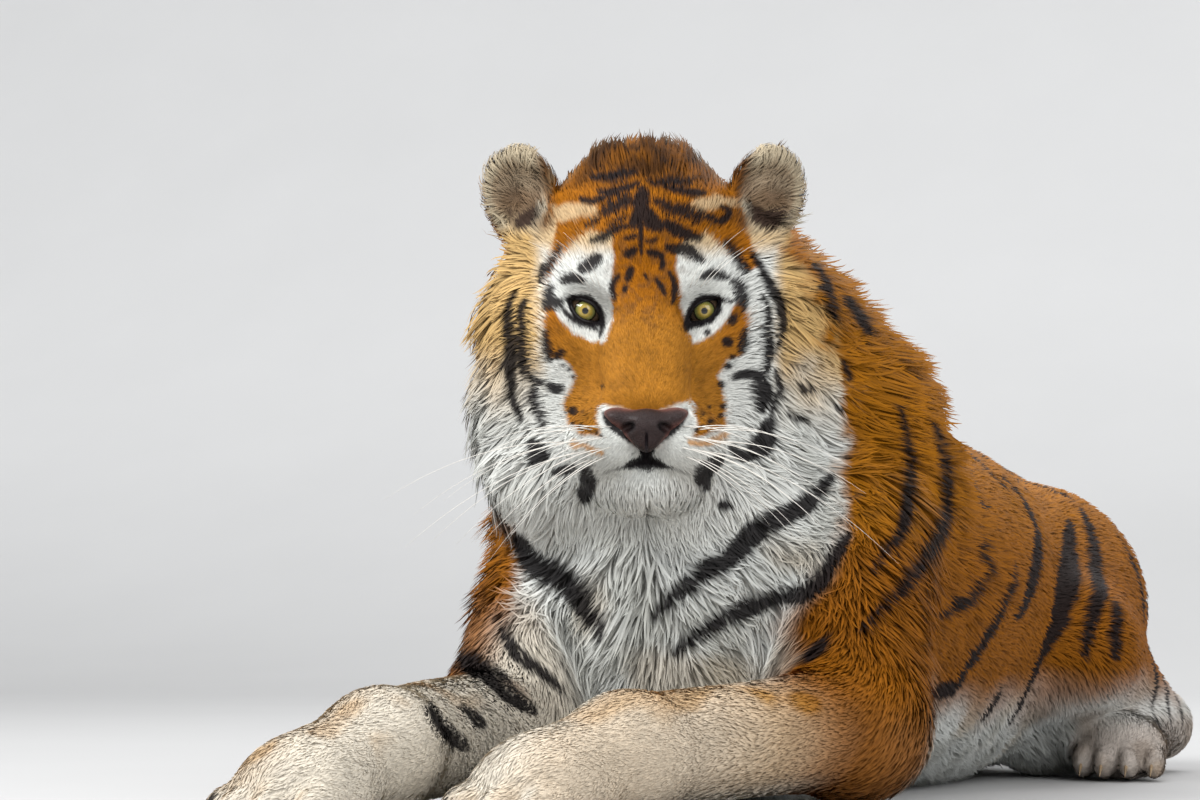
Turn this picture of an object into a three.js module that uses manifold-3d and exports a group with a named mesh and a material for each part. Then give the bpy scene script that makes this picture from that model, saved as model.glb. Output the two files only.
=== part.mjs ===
// A siberian tiger lying on its chest with its head up and turned to its left, as a still life-size model.
// Millimetres, +Z up. The tiger looks along -Y and its left side is +X. It rests on the plane z = 0.
//
// The body is one smooth field of named forms. The field is meshed region by region, and thin cuts part it
// into nodes that meet face to face with GAP between them.
import * as THREE from 'three';
import { mergeVertices } from 'three/addons/utils/BufferGeometryUtils.js';
import Module from 'manifold-3d';

const wasm = await Module();
wasm.setup();

// ---------------------------------------------------------------- driving dimensions
const GAP = 0.3;
const EYE_HEIGHT = 530;
const HEAD_YAW = THREE.MathUtils.degToRad(22);
const HEAD_TILT = THREE.MathUtils.degToRad(5.4);
const EYE_SPACING = 126;
const EYEBALL_RADIUS = 19;
const LID_THICKNESS = 3.4;
// what two coarse meshes of one curved form can differ by
const FACET_SLACK = 0.5;

// The head's frame: x to the tiger's left, y up its face, z straight out of it, origin between the eyes.
const faceOut = new THREE.Vector3(
  Math.sin(HEAD_YAW) * Math.cos(HEAD_TILT),
  -Math.cos(HEAD_YAW) * Math.cos(HEAD_TILT),
  -Math.sin(HEAD_TILT),
);
const faceLeft = new THREE.Vector3(Math.cos(HEAD_YAW), Math.sin(HEAD_YAW), 0);
const faceUp = new THREE.Vector3().crossVectors(faceOut, faceLeft);
const headFrame = new THREE.Matrix4()
  .makeBasis(faceLeft, faceUp, faceOut)
  .setPosition(0, 0, EYE_HEIGHT);
const worldFrame = new THREE.Matrix4();

// ---------------------------------------------------------------- forms of the field
// Each form is a signed distance in millimetres, below 0 inside, with the width of its blend with the rest.
function ball(centre, radii, blend = 40, turn = [0, 0, 0]) {
  const euler = new THREE.Euler(...turn.map(THREE.MathUtils.degToRad));
  const inverse = new THREE.Matrix4().makeRotationFromEuler(euler).transpose();
  const m = inverse.elements;
  const [rx, ry, rz] = radii;
  const distance = (x, y, z) => {
    const dx = x - centre[0];
    const dy = y - centre[1];
    const dz = z - centre[2];
    const px = (m[0] * dx + m[4] * dy + m[8] * dz) / rx;
    const py = (m[1] * dx + m[5] * dy + m[9] * dz) / ry;
    const pz = (m[2] * dx + m[6] * dy + m[10] * dz) / rz;
    const reach = Math.hypot(px, py, pz);
    const slope = Math.hypot(px / rx, py / ry, pz / rz);
    return slope < 1e-9 ? -Math.min(rx, ry, rz) : (reach * (reach - 1)) / slope;
  };
  return { distance, blend };
}

function limb(from, to, radiusFrom, radiusTo, blend = 40) {
  const axis = to.map((value, i) => value - from[i]);
  const lengthSquared = axis[0] ** 2 + axis[1] ** 2 + axis[2] ** 2;
  const distance = (x, y, z) => {
    const dx = x - from[0];
    const dy = y - from[1];
    const dz = z - from[2];
    const along = (dx * axis[0] + dy * axis[1] + dz * axis[2]) / lengthSquared;
    const t = Math.min(1, Math.max(0, along));
    const off = Math.hypot(dx - t * axis[0], dy - t * axis[1], dz - t * axis[2]);
    return off - (radiusFrom + t * (radiusTo - radiusFrom));
  };
  return { distance, blend };
}

// The same form on both sides of the plane x = 0.
function pair(form) {
  return { distance: (x, y, z) => form.distance(Math.abs(x), y, z), blend: form.blend };
}

function smoothMin(a, b, width) {
  const mix = Math.max(width - Math.abs(a - b), 0) / width;
  return Math.min(a, b) - (mix * mix * width) / 4;
}

function smoothMax(a, b, width) {
  return -smoothMin(-a, -b, width);
}

function joined(forms) {
  return (x, y, z) => {
    let value = forms[0].distance(x, y, z);
    for (let i = 1; i < forms.length; i += 1) {
      value = smoothMin(value, forms[i].distance(x, y, z), forms[i].blend);
    }
    return value;
  };
}

// ---------------------------------------------------------------- head, in its own frame
const eyeX = EYE_SPACING / 2;
const eyeCentre = [eyeX, 0, -EYEBALL_RADIUS];
const headForms = [
  ball([0, 58, -100], [114, 128, 120]),
  ball([0, 20, -165], [122, 118, 92], 60),
  pair(ball([76, -34, -72], [74, 82, 88], 50)),
  pair(ball([50, 34, -18], [36, 16, 26], 26)),
  pair(limb([19, 22, -12], [20, -92, 82], 30, 27, 26)),
  limb([0, 24, -11], [0, -92, 83], 31, 28, 14),
  pair(ball([40, -137, 70], [46, 41, 55], 22)),
  ball([0, -182, 60], [44, 29, 46], 18),
  pair(limb([26, -170, 40], [90, -105, -85], 32, 46, 40)),
  ball([0, -110, -50], [90, 90, 95], 50),
];
const headCore = joined(headForms);
const eyeHollow = pair(ball([59, -3, 16], [31, 19, 17], 16, [0, 0, 22]));
const ruffForms = [
  pair(ball([112, -95, -98], [66, 122, 66], 44, [0, 0, 6])),
  pair(ball([74, -188, -66], [84, 60, 66], 44)),
  pair(limb([110, 64, -108], [122, 0, -110], 36, 48, 40)),
];
function headField(x, y, z) {
  let value = headCore(x, y, z);
  value = smoothMax(value, -eyeHollow.distance(x, y, z), eyeHollow.blend);
  for (const form of ruffForms) {
    value = smoothMin(value, form.distance(x, y, z), form.blend);
  }
  return value;
}

// ---------------------------------------------------------------- body, in the world frame
const torsoForms = [
  ball([0, 400, 226], [215, 370, 240]),
  ball([0, 800, 205], [205, 420, 226], 90),
  pair(ball([88, 700, 232], [150, 440, 194], 80)),
  ball([0, 1130, 218], [192, 236, 216], 80),
  ball([0, 420, 398], [112, 262, 150], 80),
  pair(ball([128, 300, 300], [86, 150, 198], 60, [-18, 0, 0])),
  pair(ball([165, 1075, 185], [104, 226, 190], 60)),
  limb([-14, 205, 478], [0, 370, 400], 178, 190, 90),
  ball([0, 150, 235], [172, 132, 228], 70),
];

const foreSides = {
  left: { shoulder: [150, 195, 280], elbow: [205, 80, 92], wrist: [92, -290, 76], paw: [50, -400, 42] },
  right: {
    shoulder: [-146, 185, 280],
    elbow: [-180, 50, 92],
    wrist: [-128, -372, 80],
    paw: [-150, -490, 42],
  },
};
const hindSides = {
  left: { hip: [150, 1130, 230], knee: [232, 890, 172], hock: [262, 1262, 62], paw: [282, 975, 40] },
  right: { hip: [-150, 1130, 230], knee: [-232, 890, 172], hock: [-262, 1262, 62], paw: [-282, 975, 40] },
};
const TOE_SIDE = [-51, -18, 18, 51];
const TOE_AHEAD = [44, 66, 66, 44];

// A paw seen from above: a broad pad with four toes across its front.
function pawForms(heel, paw, scale) {
  const ahead = new THREE.Vector2(paw[0] - heel[0], paw[1] - heel[1]).normalize();
  const heading = THREE.MathUtils.radToDeg(Math.atan2(ahead.y, ahead.x)) - 90;
  const at = (side, forward, height) => [
    paw[0] + (ahead.y * side + ahead.x * forward) * scale,
    paw[1] + (-ahead.x * side + ahead.y * forward) * scale,
    height * scale,
  ];
  const size = (radii) => radii.map((radius) => radius * scale);
  const forms = [ball(at(0, 0, 44), size([66, 78, 46]), 30, [0, 0, heading])];
  TOE_SIDE.forEach((side, i) => {
    forms.push(ball(at(side, TOE_AHEAD[i], 27), size([21, 38, 29]), 12, [0, 0, heading]));
  });
  return forms;
}

function foreForms({ shoulder, elbow, wrist, paw }) {
  return [
    limb(shoulder, elbow, 92, 78, 50),
    limb(elbow, wrist, 74, 58, 40),
    limb(wrist, [paw[0], paw[1], 52], 58, 50, 30),
    ...pawForms(wrist, paw, 1),
  ];
}

function hindForms({ hip, knee, hock, paw }) {
  return [
    limb(hip, knee, 120, 84, 50),
    limb(knee, hock, 78, 46, 40),
    limb(hock, [paw[0], paw[1], 44], 44, 42, 30),
    ...pawForms(hock, paw, 0.88),
  ];
}

const limbs = {
  foreleg_left: foreForms(foreSides.left),
  foreleg_right: foreForms(foreSides.right),
  hindleg_left: hindForms(hindSides.left),
  hindleg_right: hindForms(hindSides.right),
};
const torsoField = joined(torsoForms);
const limbFields = Object.fromEntries(Object.entries(limbs).map(([name, forms]) => [name, joined(forms)]));
const LIMB_BLEND = 50;
const HEAD_BLEND = 60;

const toHead = headFrame.clone().invert().elements;
function headInWorld(x, y, z) {
  const m = toHead;
  return headField(
    m[0] * x + m[4] * y + m[8] * z + m[12],
    m[1] * x + m[5] * y + m[9] * z + m[13],
    m[2] * x + m[6] * y + m[10] * z + m[14],
  );
}

function wholeField(x, y, z) {
  let value = torsoField(x, y, z);
  for (const field of Object.values(limbFields)) {
    value = smoothMin(value, field(x, y, z), LIMB_BLEND);
  }
  return smoothMin(value, headInWorld(x, y, z), HEAD_BLEND);
}

// ---------------------------------------------------------------- meshing a field
// Grid lines from a start through [end, step] stretches.
function gridLines(start, ...stretches) {
  const lines = [start];
  for (const [end, step] of stretches) {
    const from = lines[lines.length - 1];
    const count = Math.max(1, Math.round((end - from) / step));
    for (let i = 1; i <= count; i += 1) {
      lines.push(from + ((end - from) * i) / count);
    }
  }
  return lines;
}

const CORNERS = [0, 1, 2, 3, 4, 5, 6, 7].map((i) => [i & 1, (i >> 1) & 1, (i >> 2) & 1]);
const EDGES = [];
for (let i = 0; i < 8; i += 1) {
  for (const bit of [1, 2, 4]) {
    if (!(i & bit)) {
      EDGES.push([i, i | bit]);
    }
  }
}

// A cell's pattern is clear when its inside corners hang together and its outside corners do too.
function hangsTogether(mask) {
  const members = [0, 1, 2, 3, 4, 5, 6, 7].filter((i) => mask & (1 << i));
  if (members.length < 2) {
    return true;
  }
  const seen = new Set([members[0]]);
  const queue = [members[0]];
  while (queue.length) {
    const corner = queue.pop();
    for (const bit of [1, 2, 4]) {
      const next = corner ^ bit;
      if (mask & (1 << next) && !seen.has(next)) {
        seen.add(next);
        queue.push(next);
      }
    }
  }
  return seen.size === members.length;
}
const CLEAR = Array.from({ length: 256 }, (_, mask) => hangsTogether(mask) && hangsTogether(255 - mask));

function meshField(field, lines, frame = worldFrame) {
  const [xs, ys, zs] = lines;
  const [nx, ny, nz] = lines.map((line) => line.length);
  const index = (i, j, k) => i + nx * (j + ny * k);
  const f = frame.elements;
  const local = (x, y, z) => field(
    f[0] * x + f[4] * y + f[8] * z + f[12],
    f[1] * x + f[5] * y + f[9] * z + f[13],
    f[2] * x + f[6] * y + f[10] * z + f[14],
  );
  const values = new Float64Array(nx * ny * nz);
  for (let k = 0; k < nz; k += 1) {
    for (let j = 0; j < ny; j += 1) {
      for (let i = 0; i < nx; i += 1) {
        const rim = i === 0 || j === 0 || k === 0 || i === nx - 1 || j === ny - 1 || k === nz - 1;
        const value = local(xs[i], ys[j], zs[k]);
        values[index(i, j, k)] = rim ? Math.max(value, 1) : value;
      }
    }
  }
  const cornerIds = (i, j, k) => CORNERS.map(([a, b, c]) => index(i + a, j + b, k + c));
  const maskOf = (ids) => ids.reduce((mask, id, n) => mask | (values[id] < 0 ? 1 << n : 0), 0);
  for (let round = 0; round < 12; round += 1) {
    let changed = false;
    for (let k = 0; k < nz - 1; k += 1) {
      for (let j = 0; j < ny - 1; j += 1) {
        for (let i = 0; i < nx - 1; i += 1) {
          const ids = cornerIds(i, j, k);
          const mask = maskOf(ids);
          if (CLEAR[mask]) {
            continue;
          }
          const nearness = ids.map((id) => Math.abs(values[id]));
          const order = [0, 1, 2, 3, 4, 5, 6, 7].sort((a, b) => nearness[a] - nearness[b]);
          const pick = order.find((n) => CLEAR[mask ^ (1 << n)]) ?? order[0];
          values[ids[pick]] = values[ids[pick]] < 0 ? 0.5 : -0.5;
          changed = true;
        }
      }
    }
    if (!changed) {
      break;
    }
  }
  const cellVertex = new Map();
  const points = [];
  for (let k = 0; k < nz - 1; k += 1) {
    for (let j = 0; j < ny - 1; j += 1) {
      for (let i = 0; i < nx - 1; i += 1) {
        const ids = cornerIds(i, j, k);
        const mask = maskOf(ids);
        if (mask === 0 || mask === 255) {
          continue;
        }
        const sum = [0, 0, 0];
        let count = 0;
        for (const [a, b] of EDGES) {
          const va = values[ids[a]];
          const vb = values[ids[b]];
          if (va < 0 === vb < 0) {
            continue;
          }
          const t = va / (va - vb);
          sum[0] += xs[i + CORNERS[a][0]] * (1 - t) + xs[i + CORNERS[b][0]] * t;
          sum[1] += ys[j + CORNERS[a][1]] * (1 - t) + ys[j + CORNERS[b][1]] * t;
          sum[2] += zs[k + CORNERS[a][2]] * (1 - t) + zs[k + CORNERS[b][2]] * t;
          count += 1;
        }
        const size = Math.min(xs[i + 1] - xs[i], ys[j + 1] - ys[j], zs[k + 1] - zs[k]);
        cellVertex.set(index(i, j, k), points.length);
        points.push(settle(local, sum.map((s) => s / count), size * 0.45));
      }
    }
  }
  const triangles = [];
  const square = (p, q, r, s, outward) => {
    const ids = [p, q, r, s].map((cell) => cellVertex.get(cell));
    if (ids.some((id) => id === undefined)) {
      return;
    }
    const [a, b, c, d] = outward ? ids : [ids[3], ids[2], ids[1], ids[0]];
    const apart = (m, n) => Math.hypot(...points[m].map((value, axis) => value - points[n][axis]));
    if (apart(a, c) <= apart(b, d)) {
      triangles.push(a, b, c, a, c, d);
    } else {
      triangles.push(a, b, d, b, c, d);
    }
  };
  for (let k = 0; k < nz - 1; k += 1) {
    for (let j = 0; j < ny - 1; j += 1) {
      for (let i = 0; i < nx - 1; i += 1) {
        const here = values[index(i, j, k)] < 0;
        if (j && k && here !== values[index(i + 1, j, k)] < 0) {
          square(index(i, j - 1, k - 1), index(i, j, k - 1), index(i, j, k), index(i, j - 1, k), here);
        }
        if (i && k && here !== values[index(i, j + 1, k)] < 0) {
          square(index(i - 1, j, k - 1), index(i - 1, j, k), index(i, j, k), index(i, j, k - 1), here);
        }
        if (i && j && here !== values[index(i, j, k + 1)] < 0) {
          square(index(i - 1, j - 1, k), index(i, j - 1, k), index(i, j, k), index(i - 1, j, k), here);
        }
      }
    }
  }
  const positions = new Float32Array(points.length * 3);
  points.forEach((point, i) => {
    const world = new THREE.Vector3(...point).applyMatrix4(frame);
    world.toArray(positions, i * 3);
  });
  return solidFrom(positions, new Uint32Array(triangles));
}

// Moves a point onto the field's surface, by no more than the reach.
function settle(field, start, reach) {
  let [x, y, z] = start;
  for (let pass = 0; pass < 3; pass += 1) {
    const value = field(x, y, z);
    const gx = (field(x + 1, y, z) - field(x - 1, y, z)) / 2;
    const gy = (field(x, y + 1, z) - field(x, y - 1, z)) / 2;
    const gz = (field(x, y, z + 1) - field(x, y, z - 1)) / 2;
    const steep = Math.max(0.2, gx * gx + gy * gy + gz * gz);
    x -= (value * gx) / steep;
    y -= (value * gy) / steep;
    z -= (value * gz) / steep;
  }
  const moved = Math.hypot(x - start[0], y - start[1], z - start[2]);
  const share = moved > reach ? reach / moved : 1;
  return [x, y, z].map((value, axis) => start[axis] + (value - start[axis]) * share);
}

// ---------------------------------------------------------------- solids
function solidFrom(positions, triangles) {
  return new wasm.Manifold(new wasm.Mesh({ numProp: 3, vertProperties: positions, triVerts: triangles }));
}

function solidOf(geometry, frame = worldFrame) {
  const bare = geometry.clone().applyMatrix4(frame);
  bare.deleteAttribute('normal');
  bare.deleteAttribute('uv');
  const merged = mergeVertices(bare, 1e-3);
  return solidFrom(merged.attributes.position.array, new Uint32Array(merged.index.array));
}

function geometryOf(solid) {
  const mesh = solid.getMesh();
  const geometry = new THREE.BufferGeometry();
  const positions = new Float32Array(mesh.numVert * 3);
  for (let i = 0; i < mesh.numVert; i += 1) {
    for (let axis = 0; axis < 3; axis += 1) {
      positions[i * 3 + axis] = mesh.vertProperties[i * mesh.numProp + axis];
    }
  }
  geometry.setAttribute('position', new THREE.BufferAttribute(positions, 3));
  geometry.setIndex(new THREE.BufferAttribute(new Uint32Array(mesh.triVerts), 1));
  geometry.computeVertexNormals();
  return geometry;
}

// The largest closed surface of a solid.
function largest(solid) {
  const pieces = solid.decompose();
  return pieces.reduce((best, piece) => (piece.volume() > best.volume() ? piece : best));
}

// All that lies ahead of a plane, given as a point and the direction ahead.
const FAR = 3000;
function ahead(point, direction, inset = 0) {
  const towards = direction.clone().normalize();
  const turn = new THREE.Quaternion().setFromUnitVectors(new THREE.Vector3(0, 0, 1), towards);
  const middle = point.clone().addScaledVector(direction.clone().normalize(), FAR / 2 + inset);
  const frame = new THREE.Matrix4().compose(middle, turn, new THREE.Vector3(1, 1, 1));
  return solidOf(new THREE.BoxGeometry(FAR, FAR, FAR), frame);
}

// The two sides of a plane, with half the gap taken from each.
function parted(solid, point, direction) {
  const front = solid.intersect(ahead(point, direction, GAP / 2));
  const back = solid.intersect(ahead(point, direction.clone().negate(), GAP / 2));
  return [largest(front), largest(back)];
}

const vector = (values) => new THREE.Vector3(...values);
const between = (a, b, share = 0.5) => vector(a).lerp(vector(b), share);

// ---------------------------------------------------------------- nodes
const nodes = {};
const floorUp = ahead(new THREE.Vector3(0, 0, 0), new THREE.Vector3(0, 0, 1));

// the head's room: ahead of a plane behind the jaw and the ears, and above one under the chin
const napePoint = new THREE.Vector3(0, 40, -152).applyMatrix4(headFrame);
const napeOut = new THREE.Vector3(0, -0.3, 1).normalize().transformDirection(headFrame);
const throatPoint = new THREE.Vector3(0, -232, 20).applyMatrix4(headFrame);
const throatOut = new THREE.Vector3(0, 1, 0.12).normalize().transformDirection(headFrame);
function headRoom(inset) {
  return ahead(napePoint, napeOut, inset).intersect(ahead(throatPoint, throatOut, inset));
}

const headLines = [
  gridLines(-238, [-98, 36], [98, 16.3], [238, 36]),
  gridLines(-262, [-214, 24], [46, 16.2], [214, 33]),
  gridLines(-262, [-56, 40], [146, 17]),
];
let head = meshField(wholeField, headLines, headFrame);
head = head.intersect(headRoom(GAP / 2));

// eyes under almond lids
const almondHalfWidth = 21;
const almondHalfHeight = 11.5;
const eyeSlant = THREE.MathUtils.degToRad(36);
const almond = new THREE.Shape();
almond.moveTo(-almondHalfWidth, 0);
almond.quadraticCurveTo(-4, almondHalfHeight * 2.1, almondHalfWidth, 1);
almond.quadraticCurveTo(2, -almondHalfHeight * 1.9, -almondHalfWidth, 0);
const EYE_SIDES = 11;
const EYE_RINGS = 7;
for (const [side, name] of [[1, 'left'], [-1, 'right']]) {
  const centre = new THREE.Vector3(side * eyeX, eyeCentre[1], eyeCentre[2]);
  const at = new THREE.Matrix4().multiplyMatrices(headFrame, new THREE.Matrix4().setPosition(centre));
  const sphere = (radius) => solidOf(new THREE.SphereGeometry(radius, EYE_SIDES, EYE_RINGS), at);
  const opening = new THREE.ExtrudeGeometry(almond, { depth: 60, bevelEnabled: false, curveSegments: 5 });
  opening.rotateZ(eyeSlant);
  if (side < 0) {
    opening.rotateY(Math.PI);
    opening.translate(0, 0, 60);
  }
  nodes[`eye_${name}`] = sphere(EYEBALL_RADIUS);
  head = head.add(sphere(EYEBALL_RADIUS + LID_THICKNESS));
  head = head.subtract(sphere(EYEBALL_RADIUS + GAP)).subtract(solidOf(opening, at));
}

// the line of the mouth: a groove from the philtrum out under each lip
const lipGroove = new THREE.Shape([
  new THREE.Vector2(3.4, 0),
  new THREE.Vector2(0, 3.4),
  new THREE.Vector2(-3.4, 0),
  new THREE.Vector2(0, -3.4),
]);
for (const side of [1, -1]) {
  const lip = new THREE.CatmullRomCurve3([
    new THREE.Vector3(-1 * side, -140, 132),
    new THREE.Vector3(0, -158, 128),
    new THREE.Vector3(20 * side, -168, 119),
    new THREE.Vector3(46 * side, -176, 104),
    new THREE.Vector3(70 * side, -168, 68),
    new THREE.Vector3(82 * side, -156, 40),
  ]);
  const groove = new THREE.ExtrudeGeometry(lipGroove, { extrudePath: lip, steps: 9, bevelEnabled: false });
  head = head.subtract(solidOf(groove, headFrame));
}

// ears: a rounded cup each, turned a little outward
function earField(x, y, z) {
  const shell = ball([133, 128, -102], [45, 50, 27], 10, [8, 24, -14]).distance(x, y, z);
  const cup = ball([138, 124, -78], [33, 38, 30], 10, [8, 24, -14]).distance(x, y, z);
  const root = limb([118, 92, -104], [128, 118, -104], 34, 38).distance(x, y, z);
  return smoothMax(smoothMin(shell, root, 14), -cup, 8);
}
const EAR_SEAT = GAP + FACET_SLACK;
const headClear = meshField((x, y, z) => wholeField(x, y, z) - EAR_SEAT, headLines, headFrame);
const earsClear = [];
for (const [side, name] of [[1, 'left'], [-1, 'right']]) {
  const place = side > 0 ? headFrame : headFrame.clone().multiply(new THREE.Matrix4().makeScale(-1, 1, 1));
  const inverse = place.clone().invert();
  const point = new THREE.Vector3();
  const field = (x, y, z) => {
    point.set(x, y, z).applyMatrix4(inverse);
    return earField(point.x, point.y, point.z);
  };
  const span = side > 0 ? [76, 196] : [-196, -76];
  const lines = [gridLines(span[0], [span[1], 15]), gridLines(44, [196, 15.2]), gridLines(-150, [-56, 14])];
  nodes[`ear_${name}`] = largest(meshField(field, lines, headFrame).subtract(headClear));
  earsClear.push(meshField((x, y, z) => field(x, y, z) - 1, lines, headFrame));
}

// nose pad with its nostrils
const noseForms = [
  ball([0, -120, 112], [27, 21, 19]),
  pair(ball([29, -111, 104], [17, 13, 18], 10)),
  ball([0, -135, 114], [13, 11, 14], 8),
];
const nostrils = pair(ball([23, -120, 128], [10, 5.5, 13], 5, [0, 0, -28]));
const noseCore = joined(noseForms);
const toNose = new THREE.Vector3();
const headInverse = headFrame.clone().invert();
function noseField(x, y, z) {
  toNose.set(x, y, z).applyMatrix4(headInverse);
  const value = noseCore(toNose.x, toNose.y, toNose.z);
  return smoothMax(value, -nostrils.distance(toNose.x, toNose.y, toNose.z), nostrils.blend);
}
const noseLines = [gridLines(-54, [54, 8.3]), gridLines(-154, [-90, 8]), gridLines(76, [142, 9.4])];
nodes.nose = largest(meshField(noseField, noseLines, headFrame));
head = head.subtract(meshField((x, y, z) => noseField(x, y, z) - GAP - FACET_SLACK, noseLines, headFrame));
nodes.head = largest(head);

// limbs: each is the whole body inside a room of capsules and eggs round its own forms
function capsule(from, to, radius) {
  const start = vector(from);
  const axis = vector(to).sub(start);
  const towards = axis.clone().normalize();
  const turn = new THREE.Quaternion().setFromUnitVectors(new THREE.Vector3(0, 1, 0), towards);
  const middle = start.addScaledVector(axis, 0.5);
  const frame = new THREE.Matrix4().compose(middle, turn, new THREE.Vector3(1, 1, 1));
  return solidOf(new THREE.CapsuleGeometry(radius, axis.length(), 4, 14), frame);
}
function egg(centre, radii, grow) {
  const scale = vector(radii).addScalar(grow);
  const frame = new THREE.Matrix4().compose(vector(centre), new THREE.Quaternion(), scale);
  return solidOf(new THREE.SphereGeometry(1, 20, 12), frame);
}
const down = new THREE.Vector3(0, 0, -1);

function foreRoom({ shoulder, elbow, paw }, grow) {
  const reach = between(elbow, paw, 1.3).setZ(60).toArray();
  return capsule(shoulder, elbow, 112 + grow).add(capsule(elbow, reach, 100 + grow));
}
function thighRoom({ knee }, grow) {
  return egg([Math.sign(knee[0]) * 232, 1055, 170], [132, 268, 208], grow);
}
function footRoom({ hock, paw }, grow) {
  return capsule(hock, between(hock, paw, 1.4).setZ(50).toArray(), 82 + grow);
}
const kneePoint = new THREE.Vector3(0, 1100, 92);
const kneeOut = new THREE.Vector3(0, 0.07, 1).normalize();

// the forearm ends under this height, where the upper arm hangs over it
const elbowTop = new THREE.Vector3(0, 0, 172);
const trunkRooms = [];
const armsClear = [];
for (const side of ['left', 'right']) {
  const sign = side === 'left' ? 1 : -1;
  const range = (from, to, step) => (sign > 0 ? gridLines(from, [to, step]) : gridLines(-to, [-from, step]));

  const fore = foreSides[side];
  const inFore = foreRoom(fore, 0).intersect(floorUp).subtract(headRoom(-GAP));
  trunkRooms.push(foreRoom(fore, GAP));
  const forearm = vector(fore.elbow).sub(vector(fore.wrist)).setZ(0).normalize();
  const elbowCut = between(fore.elbow, fore.wrist, 0.1);
  const wristCut = between(fore.elbow, fore.wrist, 0.88);
  const armLines = [range(-60, 330, 46), gridLines(-440, [340, 50]), gridLines(-30, [420, 46])];
  const arm = meshField(wholeField, armLines).intersect(inFore);
  armsClear.push(meshField((x, y, z) => wholeField(x, y, z) - 1, armLines).intersect(foreRoom(fore, 1)));
  const onward = forearm.clone().negate();
  const beforeElbow = (inset) => ahead(elbowCut, onward, inset).intersect(ahead(elbowTop, down, inset));
  nodes[`upper_arm_${side}`] = largest(arm.subtract(beforeElbow(-GAP / 2)));
  const lowerArm = arm.intersect(beforeElbow(GAP / 2));
  nodes[`forearm_${side}`] = largest(lowerArm.intersect(ahead(wristCut, forearm, GAP / 2)));
  const [px, py] = fore.paw;
  const pawLines = [
    gridLines(px - 105, [px + 115, 22]),
    gridLines(py - 130, [py + 190, 29]),
    gridLines(-26, [150, 23]),
  ];
  const paw = meshField(wholeField, pawLines).intersect(inFore);
  nodes[`forepaw_${side}`] = largest(paw.intersect(ahead(wristCut, onward, GAP / 2)));

  const hind = hindSides[side];
  const aboveKnee = ahead(kneePoint, kneeOut, GAP / 2);
  const belowKnee = ahead(kneePoint, kneeOut.clone().negate(), GAP / 2);
  trunkRooms.push(thighRoom(hind, GAP).intersect(ahead(kneePoint, kneeOut, -GAP / 2)));
  trunkRooms.push(footRoom(hind, GAP).intersect(ahead(kneePoint, kneeOut.clone().negate(), -GAP / 2)));
  const legLines = [range(20, 380, 54), gridLines(760, [1360, 62]), gridLines(-34, [420, 56])];
  const leg = meshField(wholeField, legLines).intersect(floorUp);
  nodes[`thigh_${side}`] = largest(leg.intersect(thighRoom(hind, 0)).intersect(aboveKnee));
  const instep = vector(hind.hock).sub(vector(hind.paw)).setZ(0).normalize();
  const hockCut = between(hind.hock, hind.paw, 0.6);
  const shank = leg.intersect(footRoom(hind, 0)).intersect(belowKnee);
  nodes[`shank_${side}`] = largest(shank.intersect(ahead(hockCut, instep, GAP / 2)));
  const [hx, hy] = hind.paw;
  const footLines = [
    gridLines(hx - 95, [hx + 95, 26]),
    gridLines(hy - 120, [hy + 170, 32]),
    gridLines(-26, [130, 25]),
  ];
  const inFoot = floorUp.intersect(footRoom(hind, 0)).intersect(belowKnee);
  const foot = meshField(wholeField, footLines).intersect(inFoot);
  nodes[`hindpaw_${side}`] = largest(foot.intersect(ahead(hockCut, instep.clone().negate(), GAP / 2)));
}

// torso: neck, chest, belly and hindquarters
const torsoLines = [
  gridLines(-300, [300, 68]),
  gridLines(-44, [1416, 77]),
  gridLines(-50, [704, 71]),
];
let torso = meshField(wholeField, torsoLines).intersect(floorUp);
for (const room of [...trunkRooms, ...earsClear]) {
  torso = torso.subtract(room);
}
torso = largest(torso.subtract(headRoom(-GAP / 2)));
const neckPoint = new THREE.Vector3(0, 250, 330);
const neckOut = new THREE.Vector3(0, -0.62, 0.78).normalize();
const [neck, trunk] = parted(torso, neckPoint, neckOut);
nodes.neck = neck;
const backward = new THREE.Vector3(0, 1, 0);
const [behindRibs, chest] = parted(trunk, new THREE.Vector3(0, 560, 0), backward);
nodes.chest = chest;
const [hindquarters, belly] = parted(behindRibs, new THREE.Vector3(0, 930, 0), backward);
nodes.belly = belly;
nodes.hindquarters = hindquarters;

// tail: a tapered tube laid on the floor along the right flank
const tailPath = new THREE.CatmullRomCurve3([
  new THREE.Vector3(0, 1290, 120),
  new THREE.Vector3(-40, 1420, 62),
  new THREE.Vector3(-190, 1480, 36),
  new THREE.Vector3(-370, 1400, 34),
  new THREE.Vector3(-440, 1210, 34),
  new THREE.Vector3(-452, 1000, 33),
  new THREE.Vector3(-430, 800, 31),
  new THREE.Vector3(-380, 660, 26),
]);
const TAIL_ROOT_RADIUS = 52;
const TAIL_RADIUS = 38;
const TAIL_TIP_RADIUS = 30;
const TAIL_SIDES = 8;
function tailRadius(t) {
  const base = TAIL_RADIUS + (TAIL_ROOT_RADIUS - TAIL_RADIUS) * Math.max(0, 1 - t / 0.16) ** 2;
  const taper = base + (TAIL_TIP_RADIUS - TAIL_RADIUS) * t;
  return t > 0.94 ? taper * Math.sqrt(Math.max(0.02, 1 - ((t - 0.94) / 0.06) ** 2)) : taper;
}
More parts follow.
